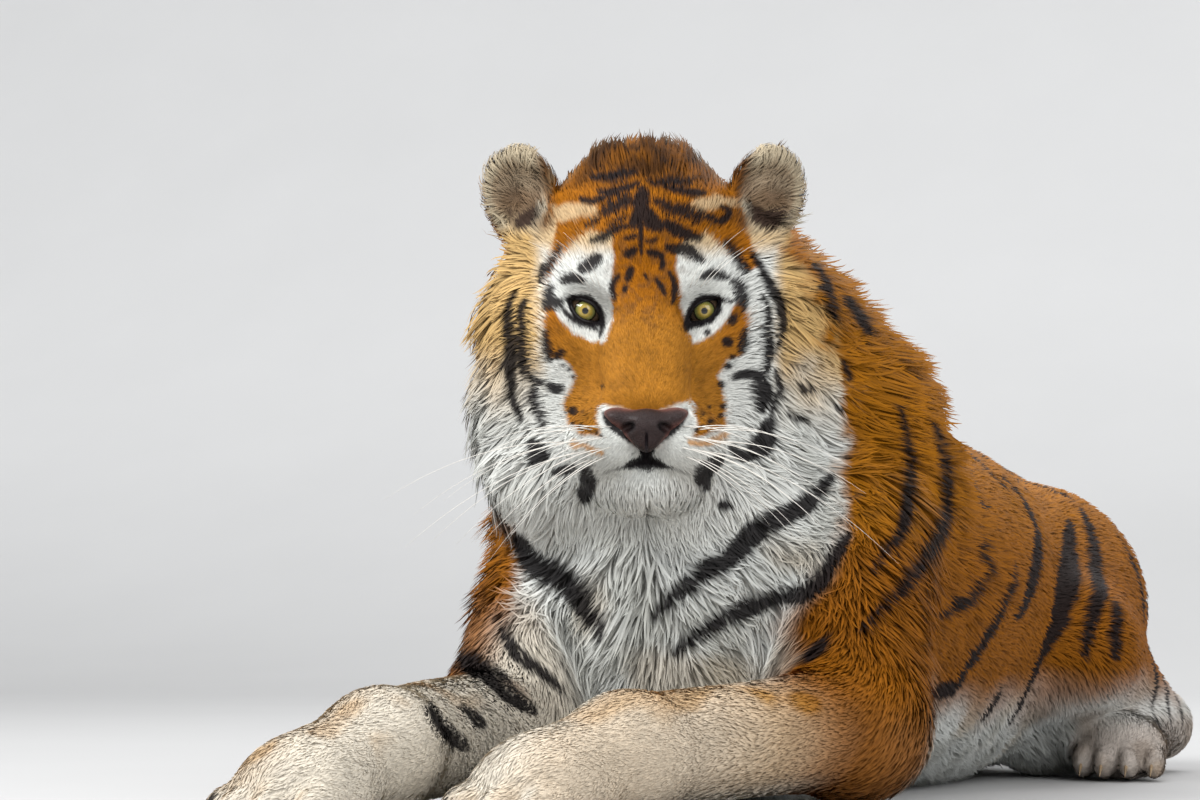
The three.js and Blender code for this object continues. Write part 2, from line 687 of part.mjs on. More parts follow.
function tube(path, from, to, steps) {
  const positions = [];
  const triangles = [];
  for (let s = 0; s <= steps; s += 1) {
    const t = from + ((to - from) * s) / steps;
    const centre = path.getPointAt(t);
    const along = path.getTangentAt(t);
    const side = new THREE.Vector3().crossVectors(along, new THREE.Vector3(0, 0, 1)).normalize();
    const up = new THREE.Vector3().crossVectors(side, along);
    for (let n = 0; n < TAIL_SIDES; n += 1) {
      const angle = (2 * Math.PI * n) / TAIL_SIDES;
      const point = centre.clone();
      point.addScaledVector(side, Math.cos(angle) * tailRadius(t));
      point.addScaledVector(up, Math.sin(angle) * tailRadius(t));
      point.z = Math.max(point.z, 0);
      positions.push(...point.toArray());
    }
  }
  for (let s = 0; s < steps; s += 1) {
    for (let n = 0; n < TAIL_SIDES; n += 1) {
      const a = s * TAIL_SIDES + n;
      const b = s * TAIL_SIDES + ((n + 1) % TAIL_SIDES);
      triangles.push(a, a + TAIL_SIDES, b, b, a + TAIL_SIDES, b + TAIL_SIDES);
    }
  }
  for (const [ring, flip] of [[0, true], [steps, false]]) {
    const hub = positions.length / 3;
    const centre = [0, 1, 2].map((axis) => {
      let sum = 0;
      for (let n = 0; n < TAIL_SIDES; n += 1) {
        sum += positions[(ring * TAIL_SIDES + n) * 3 + axis];
      }
      return sum / TAIL_SIDES;
    });
    positions.push(...centre);
    for (let n = 0; n < TAIL_SIDES; n += 1) {
      const a = ring * TAIL_SIDES + n;
      const b = ring * TAIL_SIDES + ((n + 1) % TAIL_SIDES);
      triangles.push(hub, ...(flip ? [a, b] : [b, a]));
    }
  }
  return solidFrom(new Float32Array(positions), new Uint32Array(triangles));
}
const TAIL_LENGTHS = 4;
const gapShare = GAP / 2 / tailPath.getLength();
const rumpClear = meshField((x, y, z) => wholeField(x, y, z) - GAP, torsoLines);
for (let n = 0; n < TAIL_LENGTHS; n += 1) {
  const from = n / TAIL_LENGTHS + (n ? gapShare : 0);
  const to = (n + 1) / TAIL_LENGTHS - (n < TAIL_LENGTHS - 1 ? gapShare : 0);
  const length = tube(tailPath, from, to, 7);
  nodes[`tail_${n + 1}`] = n ? length : largest(length.subtract(rumpClear));
}

// ---------------------------------------------------------------- locks of long fur
// A lock is a flat tapered strip of three sides. It starts under the surface, rises through it and lies along
// the coat, each ring at its own height over the body.
const LOCK_STATIONS = [0, 0.36, 0.76];
const LOCK_SINK = 13;
const LOCK_THICKNESS = 10;
// a lock's sides are sharp edges, so they grow by this much more than its faces
const EDGE_GROWTH = 5;
// a lock that folds over itself in a crease has less than this share of its box
const LEAST_FILL = 0.12;

function gradientAt(p) {
  const [x, y, z] = p.toArray();
  return new THREE.Vector3(
    wholeField(x + 1, y, z) - wholeField(x - 1, y, z),
    wholeField(x, y + 1, z) - wholeField(x, y - 1, z),
    wholeField(x, y, z + 1) - wholeField(x, y, z - 1),
  ).multiplyScalar(0.5);
}

function setHeight(p, height) {
  for (let pass = 0; pass < 4; pass += 1) {
    const slope = gradientAt(p);
    const miss = wholeField(...p.toArray()) - height;
    p.addScaledVector(slope, -miss / Math.max(0.3, slope.lengthSq()));
  }
  return p;
}

// The first surface point met on a ray out of the body.
function surfaceFrom(origin, direction) {
  const p = origin.clone();
  for (let step = 0; step < 120 && wholeField(...p.toArray()) < 0; step += 1) {
    p.addScaledVector(direction, 4);
  }
  return setHeight(p, 0);
}

function lock(root, lie, length, width, lift, grow) {
  const centres = [root.clone()];
  const lean = lie.clone();
  for (const [n, t] of [...LOCK_STATIONS, 1].entries()) {
    if (n) {
      const before = LOCK_STATIONS[n - 1];
      const p = centres[n - 1].clone().addScaledVector(lean, length * (t - before));
      const height = lift * (0.25 + 0.75 * t * t);
      centres.push(setHeight(p, height));
    }
    const normal = gradientAt(centres[n]).normalize();
    lean.copy(lie).addScaledVector(normal, -lie.dot(normal)).normalize();
  }
  setHeight(centres[0], -LOCK_SINK);
  const positions = [];
  const triangles = [];
  LOCK_STATIONS.forEach((t, n) => {
    const along = centres[n + 1].clone().sub(centres[Math.max(0, n - 1)]).normalize();
    const normal = gradientAt(centres[n]).normalize();
    const side = new THREE.Vector3().crossVectors(along, normal).normalize();
    const up = new THREE.Vector3().crossVectors(side, along);
    const half = (width / 2) * (1 - 0.75 * t ** 1.8) + EDGE_GROWTH * grow;
    const thick = LOCK_THICKNESS * (1 - 0.5 * t) / 2 + grow;
    positions.push(...centres[n].clone().addScaledVector(side, half).addScaledVector(up, -thick).toArray());
    positions.push(...centres[n].clone().addScaledVector(up, thick).toArray());
    positions.push(...centres[n].clone().addScaledVector(side, -half).addScaledVector(up, -thick).toArray());
  });
  const tip = centres[LOCK_STATIONS.length];
  const end = tip.clone().sub(centres[LOCK_STATIONS.length - 1]).normalize();
  positions.push(...tip.clone().addScaledVector(end, grow * 2).toArray());
  for (let n = 0; n < LOCK_STATIONS.length - 1; n += 1) {
    for (let k = 0; k < 3; k += 1) {
      const a = n * 3 + k;
      const b = n * 3 + ((k + 1) % 3);
      triangles.push(b, a, a + 3, b + 3, b, a + 3);
    }
  }
  const last = (LOCK_STATIONS.length - 1) * 3;
  triangles.push(last + 1, last, last + 3, last + 2, last + 1, last + 3, last, last + 2, last + 3);
  triangles.push(2, 0, 1);
  return solidFrom(new Float32Array(positions), new Uint32Array(triangles));
}

// A seeded draw between 0 and 1.
function drawFrom(seed) {
  let state = seed;
  return () => {
    state = (state * 1664525 + 1013904223) % 4294967296;
    return state / 4294967296;
  };
}

// Rows of locks round an axis: each row has its own origin, sweep of directions, lie and size.
function lockRows(rows, seed, grow) {
  const draw = drawFrom(seed);
  const solids = [];
  for (const row of rows) {
    for (let n = 0; n < row.count; n += 1) {
      const share = (n + 0.5 + (draw() - 0.5) * 0.5) / row.count;
      const [direction, lie] = row.aim(share);
      const origin = row.origin(share);
      const root = surfaceFrom(origin, direction);
      const length = row.length * (0.85 + 0.3 * draw());
      const width = row.width * (0.85 + 0.3 * draw());
      const lift = row.lift * (0.75 + 0.5 * draw());
      const solid = lock(root, lie, length, width, lift, grow);
      if (solid.volume() > LEAST_FILL * length * width * LOCK_THICKNESS) {
        solids.push(solid);
      }
    }
  }
  return wasm.Manifold.union(solids);
}

const inHead = (x, y, z) => new THREE.Vector3(x, y, z).applyMatrix4(headFrame);
const alongHead = (x, y, z) => new THREE.Vector3(x, y, z).normalize().transformDirection(headFrame);

// the ruff: three rows down each cheek, from under the ear to the throat, and rows under the jaw and the chin
const ruffRows = [];
for (const side of [1, -1]) {
  for (const [depth, count, length, lift] of [[-46, 6, 88, 16], [-92, 6, 100, 28], [-132, 5, 92, 24]]) {
    ruffRows.push({
      count,
      length,
      width: 56,
      lift,
      origin: (share) => inHead(side * 20, 10 - 130 * share, depth),
      aim: (share) => {
        const angle = THREE.MathUtils.degToRad(68 + 60 * share);
        const out = alongHead(side * Math.sin(angle), Math.cos(angle), 0);
        return [out, alongHead(side * (0.46 - 0.56 * share), -0.84, -0.4 + 0.2 * share)];
      },
    });
  }
  ruffRows.push({
    count: 4,
    length: 82,
    width: 46,
    lift: 18,
    origin: (share) => inHead(side * (126 - 92 * share), -176 - 22 * share, -80),
    aim: (share) => [
      alongHead(side * 0.25 * (1 - share), -0.15, 1),
      alongHead(side * 0.22 * (1 - share), -1, 0),
    ],
  });
}
ruffRows.push({
  count: 5,
  length: 78,
  width: 38,
  lift: 15,
  origin: (share) => inHead(96 * (share - 0.5), -214, -60),
  aim: (share) => [alongHead(0.3 * (share - 0.5), -0.1, 1), alongHead(0.4 * (share - 0.5), -1, 0)],
});

// where the ruff falls over the left shoulder
ruffRows.push({
  count: 4,
  length: 96,
  width: 60,
  lift: 16,
  origin: (share) => inHead(140 + 76 * share, -150 + 16 * share, -110),
  aim: (share) => [alongHead(0.3, -0.25, 1), alongHead(0.1 + 0.2 * share, -1, -0.1)],
});

// the mane: rows over the nape and down the sides of the neck
const maneRows = [[232, 7, 96], [290, 8, 110], [352, 8, 110]].map(([y, count, length]) => ({
  count,
  length,
  width: 62,
  lift: 12,
  origin: () => new THREE.Vector3(-10, y, 400),
  aim: (share) => {
    const angle = THREE.MathUtils.degToRad(-104 + 208 * share);
    const out = new THREE.Vector3(Math.sin(angle), 0, Math.cos(angle)).normalize();
    return [out, new THREE.Vector3(0.2 * Math.sin(angle), 0.72, -0.6).normalize()];
  },
}));

// the bib: rows down the front of the chest, from side to side
const bibRows = [[292, 6], [226, 6], [158, 5]].map(([z, count]) => ({
  count,
  length: 92,
  width: 58,
  lift: 22,
  origin: (share) => new THREE.Vector3(240 * (share - 0.5), 150, z),
  aim: (share) => [
    new THREE.Vector3(0.7 * (share - 0.5), -1, 0).normalize(),
    new THREE.Vector3(0.3 * (share - 0.5), 0.1, -1).normalize(),
  ],
}));

const CLEAR_OF = 1;
const skyward = ahead(new THREE.Vector3(0, 0, 2), new THREE.Vector3(0, 0, 1));
const torsoClear = meshField((x, y, z) => wholeField(x, y, z) - CLEAR_OF, torsoLines);
const offHead = torsoClear.subtract(headRoom(0));
const offNeck = torsoClear.subtract(ahead(neckPoint, neckOut)).subtract(headRoom(0));
const neckHalf = ahead(neckPoint, neckOut, -GAP / 2);
function clearOfLimbs(solid) {
  return armsClear.reduce((kept, arm) => kept.subtract(arm), solid);
}
const ruffLocks = clearOfLimbs(lockRows(ruffRows, 7, 0).subtract(offHead));
const ruff = earsClear.reduce((kept, ear) => kept.subtract(ear), ruffLocks);
const ruffGrown = lockRows(ruffRows, 7, 0.5);
nodes.head = largest(nodes.head.add(ruff));
const maneLocks = clearOfLimbs(lockRows(maneRows, 11, 0).subtract(offNeck)).subtract(headRoom(-GAP));
const mane = earsClear.reduce((kept, ear) => kept.subtract(ear), maneLocks.subtract(ruffGrown));
const maneGrown = lockRows(maneRows, 11, 0.5);
nodes.neck = largest(nodes.neck.add(mane));
const bibLocks = clearOfLimbs(lockRows(bibRows, 13, 0)).subtract(headRoom(-GAP)).intersect(skyward);
const bib = bibLocks.subtract(ruffGrown).subtract(maneGrown).subtract(torsoClear.subtract(neckHalf));
nodes.neck = largest(nodes.neck.add(bib).subtract(ruffGrown));

// ---------------------------------------------------------------- materials and the scene graph
const finish = (color, roughness) => new THREE.MeshStandardMaterial({ color, roughness, metalness: 0 });
const coat = finish(0xb9762c, 0.9);
const nosePad = finish(0x4a3238, 0.55);
const iris = finish(0x9a8f3e, 0.15);
const materialOf = { nose: nosePad, eye_left: iris, eye_right: iris };

const tiger = new THREE.Group();
for (const [name, solid] of Object.entries(nodes)) {
  const mesh = new THREE.Mesh(geometryOf(solid), materialOf[name] ?? coat);
  mesh.name = name;
  tiger.add(mesh);
}
const extent = new THREE.Box3().setFromObject(tiger);
const centre = extent.getCenter(new THREE.Vector3());
tiger.position.set(-centre.x, -centre.y, 0);

export default tiger;
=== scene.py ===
# The looks of a siberian tiger that lies on its chest with its head up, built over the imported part.
# Shapes are worked out in millimetres in the tiger's own frame: +Z up, it looks along -Y, its left is +X.
# The head has a frame of its own, from between the eyes: +X to its left, +Y up and +Z out of the face.
# The markings are drawn as lines and outlines in dots of the camera's frame, u to the right and v down.
import math

import bpy
import numpy as np
import openvdb
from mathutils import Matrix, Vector


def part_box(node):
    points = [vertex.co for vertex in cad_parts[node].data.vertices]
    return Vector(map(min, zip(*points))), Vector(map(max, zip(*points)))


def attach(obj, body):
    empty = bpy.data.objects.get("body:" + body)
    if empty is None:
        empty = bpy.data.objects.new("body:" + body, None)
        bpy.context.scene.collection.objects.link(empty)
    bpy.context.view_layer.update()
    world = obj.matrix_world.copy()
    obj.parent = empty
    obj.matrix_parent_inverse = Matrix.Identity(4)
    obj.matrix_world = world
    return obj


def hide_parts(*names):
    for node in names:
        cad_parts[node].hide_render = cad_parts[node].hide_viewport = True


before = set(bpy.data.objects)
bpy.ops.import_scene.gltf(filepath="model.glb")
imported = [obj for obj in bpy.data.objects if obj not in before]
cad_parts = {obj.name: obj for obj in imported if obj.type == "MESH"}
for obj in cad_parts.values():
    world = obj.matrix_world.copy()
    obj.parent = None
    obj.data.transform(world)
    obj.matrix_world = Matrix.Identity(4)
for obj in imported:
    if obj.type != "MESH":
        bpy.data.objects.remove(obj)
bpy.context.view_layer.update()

# ---------------------------------------------------------------- driving dimensions
EYE_HEIGHT = 530
HEAD_YAW = math.radians(22)
HEAD_TILT = math.radians(5.4)
EYE_X = 63
EYEBALL_RADIUS = 19
IRIS_RADIUS = 10.6
LIMB_BLEND = 50
HEAD_BLEND = 60
SKIN_STEP = 8.0
HEAD_STEP = 3.2
FACE_HALF_WIDTH = 118
FACE_HALF_HEIGHT = 165
FACE_DROP = 40
HIND_PAW_SCALE = 0.88
BARREL_HEIGHT = 215

CAMERA_DISTANCE = 3500
CAMERA_ASIDE = 47.4
CAMERA_HEIGHT = 200.0
VIEW_YAW = math.radians(22)
VIEW_RISE = math.radians(3.85)
FRAME_WIDTH = 1200
FRAME_MIDDLE_U = 600
FRAME_MIDDLE_V = 400
FOCAL = 3325
SIGHT_START = 2300
SIGHT_LENGTH = 2900

OUT = np.array([
    math.sin(HEAD_YAW) * math.cos(HEAD_TILT),
    -math.cos(HEAD_YAW) * math.cos(HEAD_TILT),
    -math.sin(HEAD_TILT),
])
LEFT = np.array([math.cos(HEAD_YAW), math.sin(HEAD_YAW), 0.0])
UP = np.cross(OUT, LEFT)
HEAD_AXES = np.stack([LEFT, UP, OUT])
HEAD_ORIGIN = np.array([0.0, 0.0, EYE_HEIGHT])


def to_head(p):
    """Points of the body's frame in the head's own frame."""
    return (p - HEAD_ORIGIN) @ HEAD_AXES.T


def from_head(h):
    return np.asarray(h, float) @ HEAD_AXES + HEAD_ORIGIN


eye_low, eye_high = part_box("eye_left")
SHIFT = (np.array(eye_low) + np.array(eye_high)) * 500 - from_head([EYE_X, 0, -EYEBALL_RADIUS])


def placed(p):
    """Points in millimetres as places in the scene's metres."""
    return (p + SHIFT) / 1000


def unit(v):
    return v / np.maximum(np.linalg.norm(v, axis=-1, keepdims=True), 1e-9)


def smooth(low, high, value):
    """0 up to the first value, 1 from the second and an S between, also where the first is the larger."""
    t = np.clip((value - low) / (high - low), 0, 1)
    return t * t * (3 - 2 * t)


def mixed(a, b, share):
    share = np.asarray(share)[..., None]
    return a * (1 - share) + b * share


def face_reach(h):
    """How far out from the middle of the face places are: 1 on its oval edge."""
    return np.hypot(h[:, 0] / FACE_HALF_WIDTH, (h[:, 1] + FACE_DROP) / FACE_HALF_HEIGHT)


# ---------------------------------------------------------------- the body's forms
def spin_of(turn):
    """The matrix of a turn by degrees about each axis."""
    x, y, z = (math.radians(a) for a in turn)
    rx = np.array([[1, 0, 0], [0, math.cos(x), -math.sin(x)], [0, math.sin(x), math.cos(x)]])
    ry = np.array([[math.cos(y), 0, math.sin(y)], [0, 1, 0], [-math.sin(y), 0, math.cos(y)]])
    rz = np.array([[math.cos(z), -math.sin(z), 0], [math.sin(z), math.cos(z), 0], [0, 0, 1]])
    return rx @ ry @ rz


def ball(centre, radii, blend=40, turn=(0, 0, 0)):
    """An ellipsoid, as its distance field and the width of its blend."""
    centre = np.array(centre, np.float32)
    radii = np.array(radii, np.float32)
    spin = spin_of(turn).astype(np.float32)

    def distance(p):
        q = p - centre
        if any(turn):
            q = q @ spin
        q = q / radii
        reach = np.sqrt(np.einsum("ij,ij->i", q, q))
        q = q / radii
        slope = np.sqrt(np.einsum("ij,ij->i", q, q)) + 1e-9
        return reach * (reach - 1) / slope

    return distance, blend


def limb(start, end, radius_start, radius_end, blend=40):
    """A round bar with a radius at each end."""
    start = np.array(start, np.float32)
    axis = np.array(end, np.float32) - start
    squared = float(axis @ axis)

    def distance(p):
        d = p - start
        t = np.clip(d @ axis / squared, 0, 1)
        d = d - t[:, None] * axis
        return np.sqrt(np.einsum("ij,ij->i", d, d)) - (radius_start + t * (radius_end - radius_start))

    return distance, blend


def pair(form):
    """A form on the left and its mirror on the right."""
    distance, blend = form

    def both(p):
        q = p.copy()
        q[:, 0] = np.abs(q[:, 0])
        return distance(q)

    return both, blend


def smooth_min(a, b, width):
    mix = np.maximum(width - np.abs(a - b), 0) / width
    return np.minimum(a, b) - mix * mix * (width / 4)


def smooth_max(a, b, width):
    return -smooth_min(-a, -b, width)


def joined(forms):
    """The field of several forms, each blended into those before it."""
    def distance(p):
        value = forms[0][0](p)
        for form, blend in forms[1:]:
            value = smooth_min(value, form(p), blend)
        return value

    return distance


head_core = joined([
    ball([0, 58, -100], [114, 128, 120]),
    ball([0, 20, -165], [122, 118, 92], 60),
    pair(ball([76, -34, -72], [74, 82, 88], 50)),
    pair(ball([50, 34, -18], [36, 16, 26], 26)),
    pair(limb([19, 22, -12], [20, -92, 82], 30, 27, 26)),
    limb([0, 24, -11], [0, -92, 83], 31, 28, 14),
    pair(ball([40, -137, 70], [46, 41, 55], 22)),
    ball([0, -182, 60], [44, 29, 46], 18),
    pair(limb([26, -170, 40], [90, -105, -85], 32, 46, 40)),
    ball([0, -110, -50], [90, 90, 95], 50),
])
eye_hollow = pair(ball([59, -3, 16], [31, 19, 17], 16, [0, 0, 22]))
ruff_forms = [
    pair(ball([112, -95, -98], [66, 122, 66], 44, [0, 0, 6])),
    pair(ball([74, -188, -66], [84, 60, 66], 44)),
    pair(limb([110, 64, -108], [122, 0, -110], 36, 48, 40)),
]
ear_shell = pair(ball([133, 128, -102], [45, 50, 27], 10, [8, 24, -14]))
ear_cup = pair(ball([138, 124, -78], [33, 38, 30], 10, [8, 24, -14]))
ear_root = pair(limb([118, 92, -104], [128, 118, -104], 34, 38))


def ears_at(h):
    shell = smooth_min(ear_shell[0](h), ear_root[0](h), 14)
    return smooth_max(shell, -ear_cup[0](h), 8)


def head_at(h):
    """The head without its ears: the core, the hollows of the eyes and the ruff."""
    value = head_core(h)
    value = smooth_max(value, -eye_hollow[0](h), eye_hollow[1])
    for form, blend in ruff_forms:
        value = smooth_min(value, form(h), blend)
    return value


torso_at = joined([
    ball([0, 400, 226], [215, 370, 240]),
    ball([0, 800, 205], [205, 420, 226], 90),
    pair(ball([88, 700, 232], [150, 440, 194], 80)),
    ball([0, 1130, 218], [192, 236, 216], 80),
    ball([0, 420, 398], [112, 262, 150], 80),
    pair(ball([128, 300, 300], [86, 150, 198], 60, [-18, 0, 0])),
    pair(ball([165, 1075, 185], [104, 226, 190], 60)),
    limb([-14, 205, 478], [0, 370, 400], 178, 190, 90),
    ball([0, 150, 235], [172, 132, 228], 70),
])

# the joints of each leg: its middle is the elbow or knee, and its heel the wrist or hock
FORE = {
    "left": {
        "top": [150, 195, 280], "middle": [205, 80, 92], "heel": [92, -290, 76], "paw": [50, -400, 42],
    },
    "right": {
        "top": [-146, 185, 280], "middle": [-180, 50, 92], "heel": [-128, -372, 80], "paw": [-150, -490, 42],
    },
}
HIND = {
    "left": {
        "top": [150, 1130, 230], "middle": [232, 890, 172], "heel": [262, 1262, 62], "paw": [282, 975, 40],
    },
}
HIND["right"] = {joint: [-x, y, z] for joint, (x, y, z) in HIND["left"].items()}
FORE_RADII = [(92, 78), (74, 58), (58, 50)]
HIND_RADII = [(120, 84), (78, 46), (44, 42)]
LEG_BLENDS = [50, 40, 30]
TOE_SIDE = [-51, -18, 18, 51]
TOE_AHEAD = [44, 66, 66, 44]
PAWS = [(leg["heel"], leg["paw"], 1) for leg in FORE.values()]
PAWS += [(leg["heel"], leg["paw"], HIND_PAW_SCALE) for leg in HIND.values()]


def toe_place(heel, paw, side, forward, height, scale):
    """A place in a paw, by millimetres of a forepaw to the side, ahead and up."""
    ahead = np.array(paw[:2], float) - np.array(heel[:2], float)
    ahead /= np.linalg.norm(ahead)
    return [
        paw[0] + (ahead[1] * side + ahead[0] * forward) * scale,
        paw[1] + (-ahead[0] * side + ahead[1] * forward) * scale,
        height * scale,
    ]


def paw_forms(heel, paw, scale):
    """The pad of a paw and its four toes."""
    turn = [0, 0, math.degrees(math.atan2(paw[1] - heel[1], paw[0] - heel[0])) - 90]
    forms = [ball(toe_place(heel, paw, 0, 0, 44, scale), [66 * scale, 78 * scale, 46 * scale], 30, turn)]
    for side, forward in zip(TOE_SIDE, TOE_AHEAD):
        centre = toe_place(heel, paw, side, forward, 27, scale)
        forms.append(ball(centre, [21 * scale, 38 * scale, 29 * scale], 12, turn))
    return forms


def leg_forms(leg, radii, ankle_height, scale):
    """The three lengths of a leg and its paw."""
    top, middle, heel, paw = leg.values()
    ends = [(top, middle), (middle, heel), (heel, [paw[0], paw[1], ankle_height])]
    forms = [limb(*span, *radius, blend) for span, radius, blend in zip(ends, radii, LEG_BLENDS)]
    return forms + paw_forms(heel, paw, scale)


limb_fields = {}
for name, leg in FORE.items():
    limb_fields["fore_" + name] = joined(leg_forms(leg, FORE_RADII, 52, 1))
for name, leg in HIND.items():
    limb_fields["hind_" + name] = joined(leg_forms(leg, HIND_RADII, 44, HIND_PAW_SCALE))


def through(points, step):
    """A smooth curve through points, as points about a step apart."""
    p = np.array(points, float)
    if len(p) == 2:
        p = np.stack([p[0], p.mean(0), p[1]])
    p = np.vstack([2 * p[0] - p[1], p, 2 * p[-1] - p[-2]])
    out = []
    for k in range(1, len(p) - 2):
        a, b, c, d = p[k - 1:k + 3]
        bend = 2 * a - 5 * b + 4 * c - d
        twist = 3 * b - a - 3 * c + d
        count = max(2, int(np.linalg.norm(c - b) / step) + 1)
        for t in np.arange(count) / count:
            out.append(0.5 * (2 * b + (c - a) * t + bend * t * t + twist * t ** 3))
    out.append(p[-2])
    return np.array(out)


tail_curve = through([
    [0, 1290, 120], [-40, 1420, 62], [-190, 1480, 36], [-370, 1400, 34],
    [-440, 1210, 34], [-452, 1000, 33], [-430, 800, 31], [-380, 660, 26],
], 30)
tail_steps = np.linalg.norm(np.diff(tail_curve, axis=0), axis=1)
tail_share = np.concatenate([[0], np.cumsum(tail_steps)]) / tail_steps.sum()
TAIL_ROOT = 0.16
TAIL_TIP = 0.06
TAIL_START_Y = 1190
TAIL_ASIDE_X = -330
TAIL_END_Y = 560
FAR = 400.0


def tail_radius(t):
    """The tail's radius at a share of its length: thick at the root and round at the tip."""
    base = 38 + 14 * np.maximum(0, 1 - t / TAIL_ROOT) ** 2 - 8 * t
    tip = (t - (1 - TAIL_TIP)) / TAIL_TIP
    return np.where(tip > 0, base * np.sqrt(np.maximum(0.02, 1 - tip ** 2)), base)


def tail_course(share):
    """The tail's middle and its heading at shares of its length."""
    step = np.clip((share * (len(tail_curve) - 1)).astype(int), 0, len(tail_curve) - 2)
    return tail_curve[step], unit(tail_curve[step + 1] - tail_curve[step])


def tail_at(p):
    """Distance to the tail's surface, and the share of its length."""
    value = np.full(len(p), FAR, np.float32)
    share = np.zeros(len(p), np.float32)
    near = np.flatnonzero((p[:, 1] > TAIL_START_Y) | ((p[:, 0] < TAIL_ASIDE_X) & (p[:, 1] > TAIL_END_Y)))
    if len(near):
        q = p[near]
        best = value[near]
        where = share[near]
        for k, start in enumerate(tail_curve[:-1]):
            axis = tail_curve[k + 1] - start
            d = q - start
            t = np.clip(d @ axis / (axis @ axis), 0, 1)
            along = tail_share[k] + t * (tail_share[k + 1] - tail_share[k])
            off = np.linalg.norm(d - t[:, None] * axis, axis=1) - tail_radius(along)
            closer = off < best
            best = np.where(closer, off, best)
            where = np.where(closer, along, where)
        value[near] = best
        share[near] = where
    return value, share


def groups_at(p):
    """Distances to each group of forms, by name, and the share of the tail's length."""
    h = to_head(p).astype(np.float32)
    found = {"torso": torso_at(p)}
    for name, field in limb_fields.items():
        found[name] = field(p)
    for pair_name in ("fore", "hind"):
        found[pair_name] = np.minimum(found[pair_name + "_left"], found[pair_name + "_right"])
    found["head"] = head_at(h)
    found["ears"] = ears_at(h)
    found["tail"], found["tail_share"] = tail_at(p)
    return found


def in_chunks(function, p, size=60000):
    """A function's values over many points, worked out for some at a time."""
    p = np.ascontiguousarray(p, np.float32)
    if len(p) <= size:
        return function(p)
    return np.concatenate([function(p[k:k + size]) for k in range(0, len(p), size)])


def coat_surface(p):
    """The outer face of the coat, as a signed distance in millimetres."""
    value = torso_at(p)
    for field in limb_fields.values():
        value = smooth_min(value, field(p), LIMB_BLEND)
    h = to_head(p).astype(np.float32)
    value = smooth_min(value, head_at(h), HEAD_BLEND)
    value = smooth_min(value, ears_at(h), 10)
    return smooth_min(value, tail_at(p)[0], 20)


# ---------------------------------------------------------------- the camera, and places on the coat
view_flat = np.array([-math.sin(VIEW_YAW), math.cos(VIEW_YAW), 0.0])
view_right = np.array([math.cos(VIEW_YAW), math.sin(VIEW_YAW), 0.0])
view_eye = -CAMERA_DISTANCE * view_flat - CAMERA_ASIDE * view_right + np.array([0, 0, CAMERA_HEIGHT])
view_ahead = view_flat * math.cos(VIEW_RISE) + np.array([0, 0, math.sin(VIEW_RISE)])
view_up = np.cross(view_right, view_ahead)
TRACE_STEPS = 90
TRACE_CAUTION = 0.8
TRACE_MET = 0.3


def traced(origin, direction, stop=SIGHT_LENGTH):
    """The first points of the coat's outer face on rays that start outside it."""
    t = np.zeros(len(origin))
    live = np.arange(len(origin))
    for _ in range(TRACE_STEPS):
        value = in_chunks(coat_surface, origin[live] + direction[live] * t[live, None])
        t[live] += np.clip(value * TRACE_CAUTION, 0.05, 60)
        live = live[(value > TRACE_MET) & (t[live] < stop)]
        if not len(live):
            break
    return origin + direction * t[:, None]


def sight(points):
    """Rays through places of the camera's frame, as starts on the way to the tiger and directions."""
    spots = np.array(points, float).reshape(-1, 2)
    aside = (spots[:, :1] - FRAME_MIDDLE_U) * view_right
    rays = unit(view_ahead + (aside + (FRAME_MIDDLE_V - spots[:, 1:]) * view_up) / FOCAL)
    return view_eye + SIGHT_START * rays, rays


def in_view(p):
    """Where points are in the camera's frame."""
    d = p - view_eye
    depth = d @ view_ahead
    u = FRAME_MIDDLE_U + FOCAL * (d @ view_right) / depth
    v = FRAME_MIDDLE_V - FOCAL * (d @ view_up) / depth
    return u, v


# ---------------------------------------------------------------- face details that only the skin has
LID_SLANT = math.radians(36)
LID_HALF = 21
UPPER_LID = 20.6
LOWER_LID = 20.4
SOCKET_RADIUS = 21.6
LID_ROOM = 17.4
LID_BACK = -12
MOUTH_MIDDLE_U = 645
MOUTH_TOP = [(646.5, 447), (646.5, 456), (647, 463)]
MOUTH_SIDE = [(10, 465), (19, 469), (33, 473), (46, 477.5)]
lip_paths = []
for side in (1, -1):
    line = MOUTH_TOP + [(MOUTH_MIDDLE_U + out * side, v) for out, v in MOUTH_SIDE]
    lip_paths.append(to_head(through(traced(*sight(line)), 2.5)))


def arc_share(along, ahead, bend):
    """The share t of an arc at which ahead * t + bend * t * t comes to a length along the eye."""
    return (-ahead + np.sqrt(ahead ** 2 + 4 * bend * along)) / (2 * bend)


def lid_lines(a):
    """The heights of the upper and the lower lid's edge at places along the slanted eye."""
    t = arc_share(a + LID_HALF, 34, 8)
    s = arc_share(a + LID_HALF, 46, -4)
    return 2 * t * (1 - t) * UPPER_LID + t * t, -2 * s * (1 - s) * LOWER_LID + s * s


def almond_at(h):
    """In the plane of the face: below 0 inside the opening of the lids."""
    x = np.abs(h[:, 0]) - EYE_X
    y = h[:, 1]
    a = x * math.cos(LID_SLANT) + y * math.sin(LID_SLANT)
    b = -x * math.sin(LID_SLANT) + y * math.cos(LID_SLANT)
    upper, lower = lid_lines(np.clip(a, -LID_HALF, LID_HALF))
    return np.maximum(np.maximum(b - upper, lower - b) * 0.85, np.abs(a) - LID_HALF)


def lips_at(p):
    """How far points are from the dark line of the mouth, which thins out to the sides."""
    best = np.full(len(p), 1e4, np.float32)
    for path in lip_paths:
        thick = np.interp(np.linspace(0, 1, len(path)), [0, 0.42, 0.6, 1], [6.2, 5.8, 3.2, 2.0])
        for point, radius in zip(path, thick):
            best = np.minimum(best, np.linalg.norm(p - point, axis=1) - radius)
    return best


